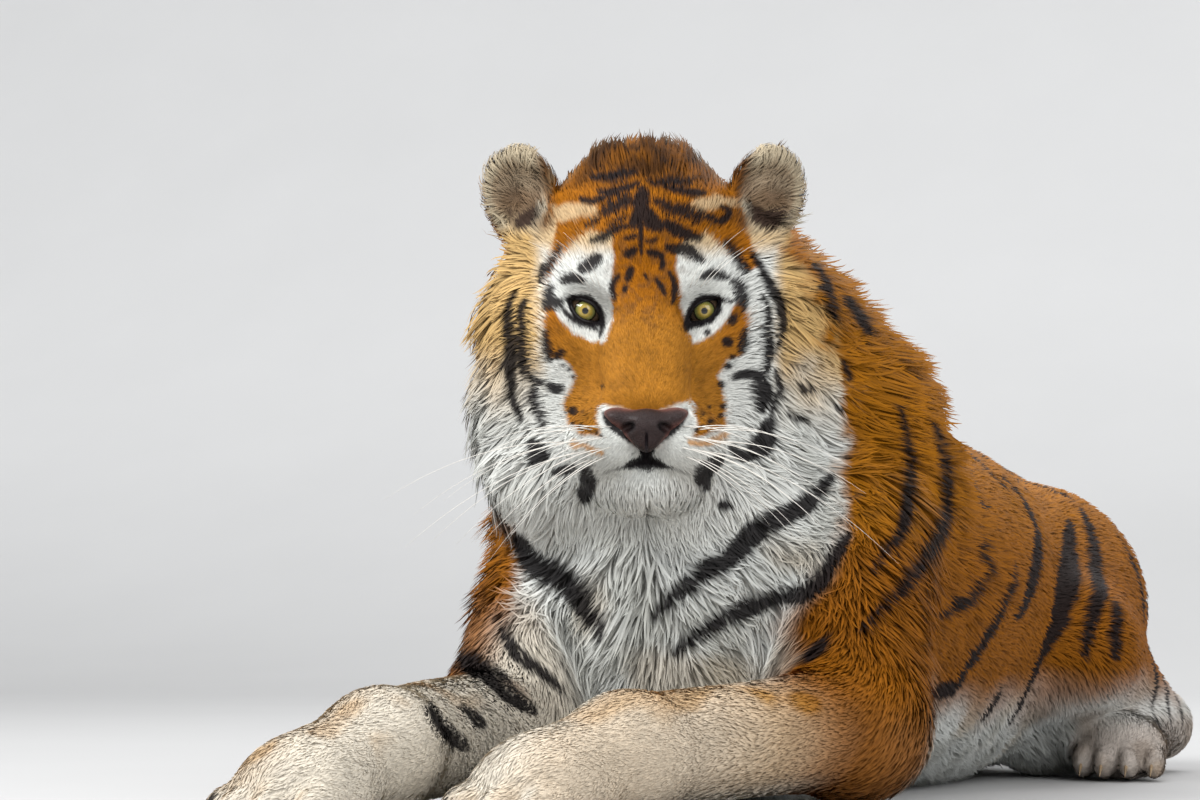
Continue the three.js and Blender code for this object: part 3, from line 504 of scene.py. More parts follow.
nose_core = joined([
    ball([0, -119, 112], [27, 19, 19]),
    pair(ball([30, -110, 104], [17, 11, 18], 10)),
    ball([0, -134, 114], [13, 11, 14], 8),
])
nostrils = pair(ball([22, -121, 128], [11, 5, 13], 4, [0, 0, -30]))
nose_slit = ball([0, -136, 132], [1.6, 13, 8], 2)


def nose_at(h):
    """The nose pad, with its nostrils and the slit under them."""
    wing = (np.abs(h[:, 0]) - 11) * 0.727 - (h[:, 1] + 141) * 0.687
    v = smooth_max(nose_core(h), wing, 5)
    return smooth_max(smooth_max(v, -nostrils[0](h), 4), -nose_slit[0](h), 2)


nape_point = np.array([0, 40, -152.0])
nape_out = unit(np.array([0, -0.3, 1.0]))
throat_point = np.array([0, -232.0, 20])
throat_out = unit(np.array([0, 1, 0.12]))
HEAD_MIDDLE = np.array([0, -20, -60.0])
BODY_DEPTH = 11.0
ARM_DEPTH = 5
FOOT_DEPTH = 6
HEAD_DEPTH = 10
FACE_DEPTH = 3.2
BROW_DEPTH = 6
CREST_DEPTH = 13


def head_side(h):
    """How far a point lies inside the head's room."""
    return np.minimum((h - nape_point) @ nape_out, (h - throat_point) @ throat_out)


def coat_depth(p, h):
    """How far the skin lies under the coat's outer face."""
    x, y, z = p.T
    depth = np.full(len(p), BODY_DEPTH, np.float32)
    depth += (ARM_DEPTH - depth) * (smooth(-60, -300, y) * (z < 240))
    foot = smooth(110, 60, z) * smooth(190, 215, np.abs(x)) * smooth(780, 860, y)
    depth += (FOOT_DEPTH - depth) * foot * (x > -345)
    face = smooth(1.15, 0.7, face_reach(h)) * smooth(-130, -40, h[:, 2])
    short = HEAD_DEPTH + (FACE_DEPTH - HEAD_DEPTH) * face
    short = short + (BROW_DEPTH - short) * smooth(60, 120, h[:, 1]) * (1 - face)
    short = short + (CREST_DEPTH - short) * smooth(118, 146, h[:, 1]) * smooth(98, 78, np.abs(h[:, 0]))
    depth += (short - depth) * smooth(330, 250, np.linalg.norm(h - HEAD_MIDDLE, axis=1))
    return depth


def depths_under(points):
    return in_chunks(lambda q: coat_depth(q, to_head(q)), points)


def skin_at(p):
    """The skin, as a signed distance in millimetres, with the eyes' sockets, the lids and the mouth."""
    h = to_head(p).astype(np.float32)
    value = coat_surface(p) + coat_depth(p, h)
    near = np.flatnonzero((h[:, 2] > -60) & (np.abs(h[:, 0]) < 120) & (h[:, 1] < 60) & (h[:, 1] > -215))
    if len(near):
        q = h[near]
        ahead = q.copy()
        ahead[:, 0] = np.abs(ahead[:, 0])
        eye = np.linalg.norm(ahead - np.array([EYE_X, 0, -EYEBALL_RADIUS]), axis=1)
        v = smooth_min(value[near], eye - SOCKET_RADIUS, 6)
        opening = np.maximum(np.maximum(almond_at(q), LID_ROOM - eye), LID_BACK - q[:, 2])
        v = smooth_max(v, -opening, 1.6)
        value[near] = smooth_max(v, -lips_at(q), 2.5)
    return value.astype(np.float32)


# ---------------------------------------------------------------- a lattice of skin distances
BLOCK = 4
TO_MIDDLE = 1.5
BLEND_ROOM = 34
PROBE = 0.8


class Lattice:
    """Skin distances on a regular grid, exact near the skin and rough elsewhere."""

    def __init__(self, field, low, high, step):
        self.low = np.array(low, np.float32)
        self.step = step
        blocks = np.ceil((np.array(high) - self.low) / (BLOCK * step)).astype(int)
        axes = [self.low[a] + (np.arange(blocks[a]) * BLOCK + TO_MIDDLE) * step for a in range(3)]
        centres = np.stack(np.meshgrid(*axes, indexing="ij"), -1).reshape(-1, 3)
        rough = in_chunks(field, centres)
        near = np.flatnonzero(np.abs(rough) < BLOCK * step * 0.9 + BLEND_ROOM)
        corner = centres[near] - TO_MIDDLE * step
        offsets = np.stack(np.meshgrid(*[np.arange(BLOCK) * step] * 3, indexing="ij"), -1).reshape(-1, 3)
        exact = in_chunks(field, (corner[:, None, :] + offsets[None]).reshape(-1, 3))
        full = np.repeat(rough[:, None], BLOCK ** 3, 1).astype(np.float32)
        full[near] = exact.reshape(-1, BLOCK ** 3)
        full = full.reshape(*blocks, BLOCK, BLOCK, BLOCK).transpose(0, 3, 1, 4, 2, 5)
        self.values = np.ascontiguousarray(full.reshape(blocks * BLOCK))
        self.size = np.array(self.values.shape)

    def at(self, p):
        """Distances at points, from the eight lattice points round each."""
        q = np.clip((p - self.low) / self.step, 0, self.size - 1.001)
        i = q.astype(np.int32)
        f = (q - i).astype(np.float32)
        ny, nz = self.size[1:]
        flat = (i[:, 0] * ny + i[:, 1]) * nz + i[:, 2]
        v = self.values.ravel()
        fx, fy, fz = f[:, 0], f[:, 1], f[:, 2]
        lower = (v[flat] * (1 - fx) + v[flat + ny * nz] * fx) * (1 - fy)
        lower += (v[flat + nz] * (1 - fx) + v[flat + ny * nz + nz] * fx) * fy
        upper = (v[flat + 1] * (1 - fx) + v[flat + ny * nz + 1] * fx) * (1 - fy)
        upper += (v[flat + nz + 1] * (1 - fx) + v[flat + ny * nz + nz + 1] * fx) * fy
        return lower * (1 - fz) + upper * fz

    def slope(self, p):
        out = np.empty((len(p), 3), np.float32)
        for axis in range(3):
            d = np.zeros(3, np.float32)
            d[axis] = self.step * 0.6
            out[:, axis] = (self.at(p + d) - self.at(p - d)) / (1.2 * self.step)
        return out

    def mesh(self):
        grid = openvdb.FloatGrid(background=40.0)
        grid.copyFromArray(self.values)
        points, quads = grid.convertToQuads(isovalue=0.0)
        return points.astype(np.float64) * self.step + self.low, quads.astype(np.int64)


def slope_of(field, p):
    """A field's values at points, and how they rise along each axis."""
    base = in_chunks(field, p)
    out = np.empty((len(p), 3), np.float32)
    for axis in range(3):
        d = np.zeros(3, np.float32)
        d[axis] = PROBE
        out[:, axis] = (in_chunks(field, p + d) - base) / PROBE
    return base, out


def settled(field, p, passes, reach):
    """Moves points onto a field's surface, by no more than the reach a pass."""
    for _ in range(passes):
        value, slope = slope_of(field, p)
        step = slope * (value / np.maximum((slope ** 2).sum(1), 0.25))[:, None]
        length = np.linalg.norm(step, axis=1, keepdims=True)
        p = p - step * np.minimum(1, reach / np.maximum(length, 1e-6))
    return p


BODY_ROOM = ([-504, -620, -20], [364, 1548, 740])
HEAD_ROOM = ([-262, -150, 196], [290, 330, 736])
ROOM_MARGIN = 8
SKIN_OVERLAP = 10
SKIN_FLOOR = 1.5


def skin_part(lattice, head_sign, reach):
    """The mesh of one lattice's skin on its own side of the join, and a little past it."""
    points, quads = lattice.mesh()
    side = head_side(to_head(points[quads].mean(1)))
    faces = quads[side * head_sign > -SKIN_OVERLAP]
    used, index = np.unique(faces, return_inverse=True)
    return settled(skin_at, points[used], 2, reach), index.reshape(faces.shape)


body_lattice = Lattice(skin_at, *BODY_ROOM, SKIN_STEP)
head_lattice = Lattice(skin_at, *HEAD_ROOM, HEAD_STEP)
body_points, body_quads = skin_part(body_lattice, -1, 3)
head_points, head_quads = skin_part(head_lattice, 1, 1.4)
body_points[:, 2] = np.maximum(body_points[:, 2], SKIN_FLOOR)


def from_lattices(read, p):
    """What a reading of the body's lattice says at points, or of the head's where that has room."""
    out = read(body_lattice, p)
    low, high = (np.array(corner) for corner in HEAD_ROOM)
    inside = ((p > low + ROOM_MARGIN) & (p < high - ROOM_MARGIN)).all(1)
    out[inside] = read(head_lattice, p[inside])
    return out


def skin_value(p):
    return from_lattices(Lattice.at, p)


def skin_slope(p):
    return from_lattices(Lattice.slope, p)


# ---------------------------------------------------------------- noise
def hashed(i, seed):
    """A number between 0 and 1 for each whole-numbered place."""
    i = i.astype(np.int64)
    n = i[..., 0] * 73856093 ^ i[..., 1] * 19349663 ^ i[..., 2] * 83492791 ^ (seed * 2654435761)
    n = (n ^ (n >> 13)) * 1274126177 & 0xFFFFFFFF
    n = (n ^ (n >> 15)) * 2246822519 & 0xFFFFFFFF
    return ((n ^ (n >> 16)) & 0xFFFF) / 65535.0


def noise(p, size, seed):
    """Smooth noise between -1 and 1 with features of about the size."""
    q = p / size
    i = np.floor(q)
    f = q - i
    f = f * f * (3 - 2 * f)
    total = 0
    for corner in range(8):
        c = np.array([corner & 1, corner >> 1 & 1, corner >> 2 & 1])
        weight = np.prod(np.where(c, f, 1 - f), axis=1)
        total = total + weight * hashed(i + c, seed)
    return total * 2 - 1


def drift(p, size, seed):
    """Smooth noise in three directions."""
    return np.stack([noise(p, size, seed + k) for k in range(3)], 1)


def clump_centre(p, size, seed):
    """The nearest of a scatter of centres about a size apart."""
    base = np.floor(p / size)
    best = np.full(len(p), 1e9)
    out = np.zeros_like(p)
    for corner in range(27):
        c = base + np.array([corner % 3 - 1, corner // 3 % 3 - 1, corner // 9 - 1])
        at = (c + np.stack([hashed(c, seed + k) for k in range(3)], 1)) * size
        d = ((at - p) ** 2).sum(1)
        closer = d < best
        best = np.where(closer, d, best)
        out[closer] = at[closer]
    return out


# ---------------------------------------------------------------- markings
RING_OF_STARTS = 520
FACE_HOLD = 52
THIN_STRIPE = 4.4
FLANK_START_U = 960
TAIL_RINGS = 9
strokes = []


def stripe(rays, width, detail=4.0, seen_width=0, depth=110):
    """A band of black fur where rays meet the coat, as wide as it says in mm or, if seen, in dots."""
    strokes.append((rays, width, detail, seen_width, depth))


def around(y, centre_z, start, end, lean=0, sway=0, count=7):
    """Rays to the body at one place along it, by angle from straight up, + to the tiger's left."""
    s = np.linspace(0, 1, count)
    angle = np.radians(start + (end - start) * s)
    ys = y + lean * s + sway * np.sin(s * math.pi * 2)
    direction = np.stack([np.sin(angle), np.zeros(count), np.cos(angle)], 1)
    middle = np.stack([np.zeros(count), ys, np.full(count, float(centre_z))], 1)
    return middle + direction * RING_OF_STARTS, -direction


def one_way(starts, direction):
    """Rays from several starts in one direction."""
    return starts, np.tile(np.array(direction, float), (len(starts), 1))


# each stripe is its line in dots of the frame and its width
FACE_STRIPES = [
    ([(590, 176), (602, 177), (619, 173), (638, 170)], 8),
    ([(662, 160), (675, 166), (694, 169), (713, 165)], 9),
    ([(596, 192), (616, 189), (630, 186), (641, 182)], 6),
    ([(581, 196), (583, 201), (596, 200), (613, 195), (631, 196)], 5.5),
    ([(647, 179), (655, 184), (670, 180), (694, 183)], 5.5),
    ([(663, 187), (680, 190), (694, 193), (706, 193)], 7), ([(644, 190), (642, 197), (638, 204)], 12),
    ([(637, 201), (624, 203), (612, 208), (600, 213)], 9), ([(600, 213), (594, 220), (585, 226)], 5),
    ([(651, 199), (662, 203), (675, 210), (689, 214), (701, 221)], 10),
    ([(697, 211), (708, 216), (721, 220), (732, 213)], 7), ([(722, 206), (728, 209), (732, 213)], 5),
    ([(638, 208), (636, 218), (631, 226)], 11), ([(642, 208), (651, 220), (661, 227)], 15),
    ([(640, 210), (640, 232), (641, 256)], 4.5), ([(588, 241), (603, 237), (617, 228), (630, 224)], 7),
    ([(664, 221), (675, 228), (687, 234), (702, 237)], 11),
    ([(665, 245), (675, 249), (687, 249), (697, 255)], 9), ([(624, 237), (631, 237), (637, 235)], 5),
    ([(645, 241), (652, 241), (659, 238)], 4), ([(624, 255), (630, 253), (636, 250)], 7),
    ([(647, 252), (655, 253), (663, 256)], 7), ([(580, 270), (589, 264), (599, 255)], 10),
    ([(560, 282), (572, 277), (584, 282)], 8), ([(619, 273), (611, 285), (614, 301)], 5),
    ([(631, 267), (629, 274), (626, 281)], 7), ([(625, 286), (624, 291)], 5),
    ([(660, 255), (662, 264), (660, 270)], 5), ([(668, 270), (674, 282), (675, 293), (673, 304)], 5.5),
    ([(644, 273), (647, 280)], 3.5), ([(656, 278), (661, 286), (666, 294)], 4.5),
    ([(674, 250), (685, 251), (695, 255), (704, 262)], 8),
    ([(700, 278), (711, 274), (719, 275), (729, 277)], 7.5),
    ([(732, 280), (741, 290), (743, 299), (745, 308)], 12), ([(562, 304), (553, 303), (545, 308)], 10),
    ([(550, 286), (549, 296), (547, 306)], 9), ([(561, 243), (553, 258), (545, 271), (537, 284)], 6),
    ([(546, 266), (543, 273)], 8),
    ([(526, 297), (522, 309), (521, 332), (521, 357), (524, 370), (533, 380), (544, 383)], 8.5),
    ([(546, 384), (555, 389), (562, 387)], 7),
    ([(535, 384), (533, 395), (535, 409), (540, 419), (543, 426)], 9),
    ([
        (518, 291), (510, 301), (508, 317), (509, 337), (510, 357), (510, 378), (512, 398), (518, 413),
        (521, 423),
    ], 9.5),
    ([(499, 371), (506, 362)], 5), ([(545, 328), (545, 340), (548, 352), (549, 362)], 7),
    ([(555, 357), (563, 351)], 6.5), ([(561, 366), (564, 365)], 3), ([(567, 371), (570, 369)], 3.5),
    ([(571, 378), (573, 376)], 3.5), ([(530, 441), (535, 451), (533, 465)], 11),
    ([(547, 449), (541, 461)], 9), ([(552, 474), (563, 470), (573, 469)], 9),
    ([(587, 470), (587, 487), (583, 501)], 14), ([(725, 240), (735, 252), (741, 263), (748, 273)], 9),
    ([
        (751, 251), (759, 265), (766, 279), (772, 289), (780, 301), (783, 313), (784, 329), (781, 340),
        (777, 350),
    ], 8),
    ([(761, 293), (768, 305), (769, 322), (769, 342), (769, 358), (765, 372), (763, 383)], 8),
    ([(764, 375), (751, 374), (741, 375), (733, 380)], 8),
    ([(755, 380), (762, 388), (764, 398), (761, 410)], 15),
    ([(775, 368), (779, 383), (780, 393), (776, 403), (773, 414), (771, 421)], 5.5),
    ([(746, 328), (745, 340), (743, 353)], 9), ([(727, 340), (729, 342)], 9), ([(731, 319), (735, 318)], 8),
    ([(732, 357), (734, 357)], 5), ([(726, 366), (730, 367)], 6), ([(705, 333), (711, 331)], 4.5),
    ([(720, 383), (725, 386)], 4.5), ([(771, 420), (768, 430), (762, 440)], 14),
    ([(774, 439), (762, 445), (752, 454)], 18), ([(730, 445), (741, 454), (752, 458)], 9),
    ([(724, 457), (712, 467), (703, 477), (705, 489)], 13), ([(815, 390), (806, 388), (798, 392)], 7),
    ([(788, 417), (797, 418), (807, 421)], 5), ([(720, 505), (731, 506)], 8),
    ([(818, 287), (827, 290), (835, 291)], 5), ([(826, 303), (833, 312), (838, 322)], 6),
    ([(843, 360), (847, 371), (850, 383)], 6), ([(837, 405), (840, 409), (844, 414)], 5),
    ([(609, 182), (622, 180), (634, 176)], 3), ([(668, 176), (684, 178), (700, 177)], 3),
    ([(628, 214), (618, 219), (606, 224)], 4), ([(672, 203), (690, 206), (704, 210)], 4),
    ([(612, 231), (603, 236)], 4), ([(571, 411), (574, 410)], 7), ([(570, 424), (572, 424)], 3.6),
    ([(579, 426), (582, 426.5)], 4.6), ([(587, 429.5), (589, 430)], 3.6), ([(594, 432), (596, 432.5)], 3.6),
    ([(600, 435), (602, 436)], 3.2), ([(601, 386), (603, 387)], 3), ([(581, 411), (583, 411)], 2.6),
    ([(722, 407), (725, 407)], 5), ([(720, 416), (723, 416)], 4.4), ([(710, 421.5), (713, 421.5)], 5),
    ([(702, 425.5), (705, 425.5)], 3.6), ([(695, 430), (698, 429)], 4), ([(709, 407), (711, 407)], 3),
    ([(702, 413.5), (705, 413.5)], 2.6),
]
LIP_STRIPES = [
    ([(557, 305), (566, 300), (576, 298), (588, 299), (597, 308), (602, 322), (600, 337)], 6.5),
    ([(561, 306), (569, 316), (578, 322.5), (588, 325), (599, 330)], 6),
    ([(686, 332), (687, 318), (694, 305), (703, 298), (714, 297), (725, 300), (738, 301)], 6.5),
    ([(686, 330), (692, 325), (701, 323.5), (713, 317), (722, 308)], 6),
    ([(646.5, 446), (646.5, 454), (647, 461)], 9),
    ([(628, 470), (637, 465.5), (647, 462.5), (657, 465), (664, 468)], 7.5),
    ([(602, 410), (609, 421), (620, 430), (632, 439), (639, 445)], 8.5),
    ([(688, 408), (681, 420), (669, 430), (657, 440), (652, 445)], 8.5),
]
BODY_STRIPES = [
    ([(518, 536), (528, 560), (547, 571), (569, 585), (590, 617), (601, 641)], 20),
    ([
        (834, 475), (802, 507), (761, 528), (732, 558), (708, 571), (681, 590), (665, 606), (652, 619),
    ], 17),
    ([(850, 531), (836, 555), (810, 590), (769, 601), (729, 617), (697, 636), (670, 657)], 15),
    ([(831, 638), (816, 650), (799, 662)], 11),
    ([(496, 614), (510, 644), (528, 662), (552, 681), (566, 694)], 10),
    ([(454, 657), (486, 670), (508, 692), (534, 712)], 18), ([(429, 702), (445, 728), (467, 750)], 12),
    ([(461, 705), (474, 716), (486, 728)], 8),
    ([(900, 403), (908, 436), (911, 467), (908, 503), (900, 533), (882, 559), (869, 582)], 10),
    ([
        (933, 421), (943, 447), (947, 482), (946, 518), (933, 549), (908, 584), (882, 610), (859, 638),
    ], 12),
    ([(971, 467), (979, 498), (992, 510)], 8),
    ([(969, 521), (976, 550), (981, 579), (962, 600), (930, 615)], 9),
    ([(1004, 475), (1025, 498), (1040, 533), (1040, 559), (1030, 595), (1017, 620)], 15),
    ([(1017, 559), (1010, 590), (994, 628), (971, 666), (948, 692), (930, 720)], 12),
    ([(1073, 518), (1073, 554), (1068, 590), (1055, 635), (1038, 671), (1010, 727)], 17),
    ([(1081, 505), (1096, 539), (1101, 577), (1094, 615), (1084, 661)], 13),
    ([(1119, 600), (1119, 630), (1117, 661)], 12), ([(1004, 689), (996, 706), (984, 722)], 10),
    ([(845, 296), (858, 314), (872, 336)], 9), ([(812, 262), (826, 282), (838, 312)], 7),
]
for points, width in FACE_STRIPES:
    swell = 1.3 if width > THIN_STRIPE else 1.15
    stripe(sight(points), 0, detail=2.5, seen_width=width * swell, depth=FACE_HOLD)
for points, width in LIP_STRIPES:
    stripe(sight(points), 0, detail=2.5, seen_width=width, depth=FACE_HOLD)
for points, width in BODY_STRIPES:
    on_flank = points[0][0] > FLANK_START_U
    stripe(sight(points), width * 2.1, seen_width=0 if on_flank else width * 1.35)


def back_stripes():
    """Hoops down the right flank, short bars beside the spine and on the left of the back."""
    for k, y in enumerate(range(250, 1330, 84)):
        reach = -96 - 10 * math.sin(k * 1.7)
        lean = 46 + 24 * math.sin(k * 2.1)
        stripe(around(y, BARREL_HEIGHT, -14 - 6 * (k % 2), reach, lean, 10, 9), (15 + 5 * (k % 3)) * 1.3)
        stripe(around(y + 34, BARREL_HEIGHT, -40, -84, 40, -8, 6), 15)
        if y > 380:
            stripe(around(y + 20, BARREL_HEIGHT, 14, 40 + 14 * (k % 2), 24, 8, 5), 17 + 3 * (k % 2))
        stripe(around(y + 12, BARREL_HEIGHT, -9, 9, 6, 3, 4), 13)


def thigh_stripes():
    """Bars across the thighs, that lean back as they go down."""
    for k, y in enumerate(range(900, 1290, 70)):
        if y > 1080:
            stripe(around(y, 190, 62, 112, -50, 6, 7), 22 + 4 * (k % 2))
        stripe(around(y + 30, 190, -62, -112, -50, 6, 7), 19 + 3 * (k % 2))


def rump_stripes():
    """Upright bars on the back of the rump, met from behind."""
    heights = np.linspace(330, 120, 6)
    for angle in (-150, -118, -62, -30, 24, 56, 120, 152):
        x = np.full(6, 95 * math.sin(math.radians(angle))) + 6 * np.sin(heights / 40)
        stripe(one_way(np.stack([x, np.full(6, 1900.0), heights], 1), [0, -1, 0]), 17)


def neck_stripes():
    """Bars down the right side of the neck."""
    for k, y in enumerate(range(300, 470, 46)):
        stripe(around(y, 380, -12, -78 + 6 * k, 50, 6, 7), 18)


def upper_arm_stripes():
    """Two bars on the outer side of the right upper arm."""
    leg = FORE["right"]
    sweep = np.linspace(-0.5, 0.7, 6)
    for s in (0.35, 0.6):
        place = np.array(leg["top"]) * (1 - s) + np.array(leg["middle"]) * s
        beside = np.stack([np.full(6, -300.0), sweep * 150, sweep * 30 + 15], 1)
        stripe(one_way(place + beside, [1, 0, 0]), 15)


def paw_stripes():
    """Three bars up every foot and two short ones beside them."""
    # each is its place to the side, its first and last place ahead and its width
    bars = ((-34, 62, 112, 9), (0, 70, 122, 10), (34, 62, 112, 9), (-51, 70, 84, 7), (52, 66, 82, 7))
    for heel, paw, scale in PAWS:
        for side, low, high, width in bars:
            places = (low, (low + high) / 2, high)
            line = [toe_place(heel, paw, side, forward, 200, scale) for forward in places]
            stripe(one_way(np.array(line, float), [0, 0, -1]), width)


# what the camera doesn't see
back_stripes()
thigh_stripes()
rump_stripes()
neck_stripes()
upper_arm_stripes()
paw_stripes()


def laid_stripes():
    """Each stroke as its curve on the coat, half widths, places in the frame and how deep it holds."""
    met = traced(*(np.concatenate([rays[k] for rays, *_ in strokes]) for k in range(2)))
    met = np.split(met, np.cumsum([len(rays[0]) for rays, *_ in strokes])[:-1])
    out = []
    for points, (_, width, detail, seen_width, depth) in zip(met, strokes):
        curve = through(points, detail)
        swell = np.clip(np.sin(np.linspace(0, 1, len(curve)) * math.pi), 0, 1) ** 0.35
        places = np.stack(in_view(curve), 1) if seen_width else None
        out.append((curve, np.maximum((seen_width or width) / 2 * swell, 0.5), places, depth))
    return out


stripes = laid_stripes()

# ---------------------------------------------------------------- colours
def srgb(r, g, b):
    c = np.array([r, g, b]) / 255
    return np.where(c <= 0.04045, c / 12.92, ((c + 0.055) / 1.055) ** 2.4)


CROWN = srgb(156, 93, 6)
SADDLE = srgb(154, 96, 6)
FLANK = srgb(134, 79, 6)
BRIDGE = srgb(166, 110, 34)
CREST_TIP = srgb(62, 36, 10)
TAN = srgb(194, 155, 86)
WHITE = srgb(210, 212, 208)
GREY = srgb(160, 160, 152)
BLACK = srgb(24, 20, 22)
BROWN = srgb(92, 62, 38)
LIP_TAN = srgb(196, 138, 66)
EAR_HAIR = srgb(178, 168, 148)
# painted shade for the deep middles of the ears' hollows
EAR_POCKET_SHADE = srgb(56, 42, 34)
EAR_RIM = srgb(176, 164, 140)
EAR_ROOT = srgb(92, 58, 28)
PUPIL = srgb(6, 6, 8)
IRIS_INNER = srgb(170, 146, 62)
IRIS_OUTER = srgb(112, 116, 66)
IRIS_EDGE = srgb(26, 20, 14)
EYE_WHITE = srgb(96, 78, 62)
LID_DARK = srgb(22, 18, 19)
NOSE_DARK = srgb(40, 27, 26)
NOSE_PINK = srgb(140, 92, 84)
# painted shade in the nostrils' holes and the slit under them
NOSTRIL_SHADE = srgb(14, 10, 12)
NOSE_SLIT_SHADE = srgb(30, 22, 26)
WHISKER_WHITE = srgb(226, 222, 214)
CLAW_HORN = srgb(150, 128, 100)


def inside_of(u, v, corners, soft):
    """How far inside a closed outline of the frame places are: 0 outside and 1 inside, over a soft edge."""
    corners = np.array(corners, float)
    out = np.zeros(len(u))
    low, high = corners.min(0) - soft, corners.max(0) + soft
    near = np.flatnonzero((u > low[0]) & (u < high[0]) & (v > low[1]) & (v < high[1]))
    if not len(near):
        return out
    x, y = u[near], v[near]
    off = np.full(len(near), 1e6)
    within = np.zeros(len(near), bool)
    for (ax, ay), (bx, by) in zip(corners, np.roll(corners, -1, 0)):
        ex, ey = bx - ax, by - ay
        t = np.clip(((x - ax) * ex + (y - ay) * ey) / (ex * ex + ey * ey), 0, 1)
        off = np.minimum(off, (x - ax - t * ex) ** 2 + (y - ay - t * ey) ** 2)
        crosses = (ay > y) != (by > y)
        within ^= crosses & (x < ax + (y - ay) * ex / (ey if ey else 1e-9))
    off = np.sqrt(off)
    out[near] = smooth(-soft, soft, np.where(within, off, -off))
    return out


# outlines in dots of the frame, the lines of the lips' folds, and the left ruff's edge as (v, u)
ORANGE_OUTLINE = [
    (545, 285), (548, 262), (553, 240), (556, 220), (546, 212), (546, 200), (556, 170), (590, 130),
    (640, 110), (700, 120), (742, 150), (754, 186), (742, 206), (746, 222), (750, 240), (760, 264),
    (752, 271), (738, 262), (722, 246), (706, 231), (690, 238), (674, 249), (680, 288), (685, 322),
    (693, 343), (705, 337), (716, 331), (730, 315), (736, 304), (748, 311), (750, 329), (740, 354),
    (728, 358), (719, 376), (725, 393), (727, 425), (714, 432), (693, 437), (697, 420), (694, 405),
    (688, 400), (668, 409), (647, 418), (622, 409), (602, 403), (598, 407), (596, 420), (601, 437),
    (577, 433), (567, 424), (563, 404), (572, 385), (575, 376), (567, 362), (551, 357), (543, 330),
    (545, 309), (552, 307), (560, 320), (570, 329), (580, 336), (592, 343), (604, 341), (612, 318),
    (609, 290), (612, 262), (614, 245), (612, 229), (590, 232), (570, 243), (558, 262),
]
EAR_WHITE = [
    [(549, 207), (570, 203), (597, 206), (597, 212), (574, 219), (556, 222)],
    [(690, 201), (716, 195), (738, 198), (742, 207), (722, 204), (702, 212)],
]
LIP_FOLDS = [
    [(572, 444), (583, 447), (592, 450), (602, 452)],
    [(691, 443), (704, 443), (714, 440), (725, 434)],
]
LIP_FOLD_WIDTH = 3.2
# pairs of places in the frame between which a colour comes in, across it or down it
TAN_FROM_LEFT, TAN_FROM_RIGHT, TAN_UPWARDS = (552, 528), (768, 788), (440, 330)
TAN_ON_TOP = (262, 238)
GREY_FROM_LEFT, GREY_FROM_RIGHT, GREY_DOWNWARDS = (535, 500), (760, 800), (350, 440)
GREY_AT_CHEST = (515, 560)
SADDLE_RIGHTWARDS = (790, 820)
WARM_ON_CROWN, WARM_SIDES_UPWARDS = (160, 150), (240, 200)
BIB_DOWNWARDS = (420, 470)
# ovals of the frame: their middles and how far they reach
NOSE_BRIDGE = (646, 382, 112, 74)
FOREHEAD = (645, 276, 42, 56)
RUFF_EDGE = [
    (120, 780), (240, 791), (265, 797), (289, 812), (322, 821), (350, 833), (373, 843), (400, 848),
    (440, 846), (472, 838), (500, 848), (531, 846), (560, 828), (585, 814), (610, 797), (640, 784),
    (680, 770), (800, 762),
]


def oval(u, v, middle_u, middle_v, reach_u, reach_v, soft=0.35):
    """How far inside an oval of the frame places are: 0 outside and 1 inside."""
    r = np.hypot((u - middle_u) / reach_u, (v - middle_v) / reach_v)
    return smooth(1 + soft, 1 - soft, r)


def past_ruff(u, v):
    """How far places of the frame lie to the right of the edge of the left ruff."""
    return u - np.interp(v, [place[0] for place in RUFF_EDGE], [place[1] for place in RUFF_EDGE])


def cup_at(h):
    return ear_cup[0](h.astype(np.float32))


def head_pale(p, u, v):
    """The white fur of the head, tanner and greyer towards its sides."""
    mottle = noise(p, 34, 8)
    tan = np.maximum(smooth(*TAN_FROM_LEFT, u), smooth(*TAN_FROM_RIGHT, u))
    tan = tan * smooth(*TAN_UPWARDS, v + 26 * mottle)
    tan = np.maximum(tan, smooth(*TAN_ON_TOP, v) * 0.8)
    pale = mixed(WHITE, TAN, 0.88 * tan + 0.03)
    grey = np.maximum(smooth(*GREY_FROM_LEFT, u), smooth(*GREY_FROM_RIGHT, u)) * smooth(*GREY_DOWNWARDS, v)
    grey = np.maximum(grey, smooth(*GREY_AT_CHEST, v))
    return mixed(pale, GREY, 0.6 * grey * smooth(-0.5, 0.7, mottle))


def head_tint(p, h, u, v):
    """The orange fur of the head, darker at the crest."""
    tint = mixed(CROWN, BRIDGE, oval(u, v, *NOSE_BRIDGE, 0.4))
    tint = mixed(tint, SADDLE, smooth(*SADDLE_RIGHTWARDS, u))
    speckle = smooth(-0.2, 0.6, noise(p, 3, 18)) * smooth(-90, -40, h[:, 2])
    tint = tint * (1 - 0.2 * smooth(0.1, 0.8, noise(p, 16, 6)) - 0.24 * speckle)[:, None]
    top = smooth(122, 150, h[:, 1]) * smooth(112, 96, np.abs(h[:, 0]))
    return mixed(tint, CREST_TIP, top * (0.35 + 0.55 * smooth(-0.6, 0.4, noise(p, 18, 7))))


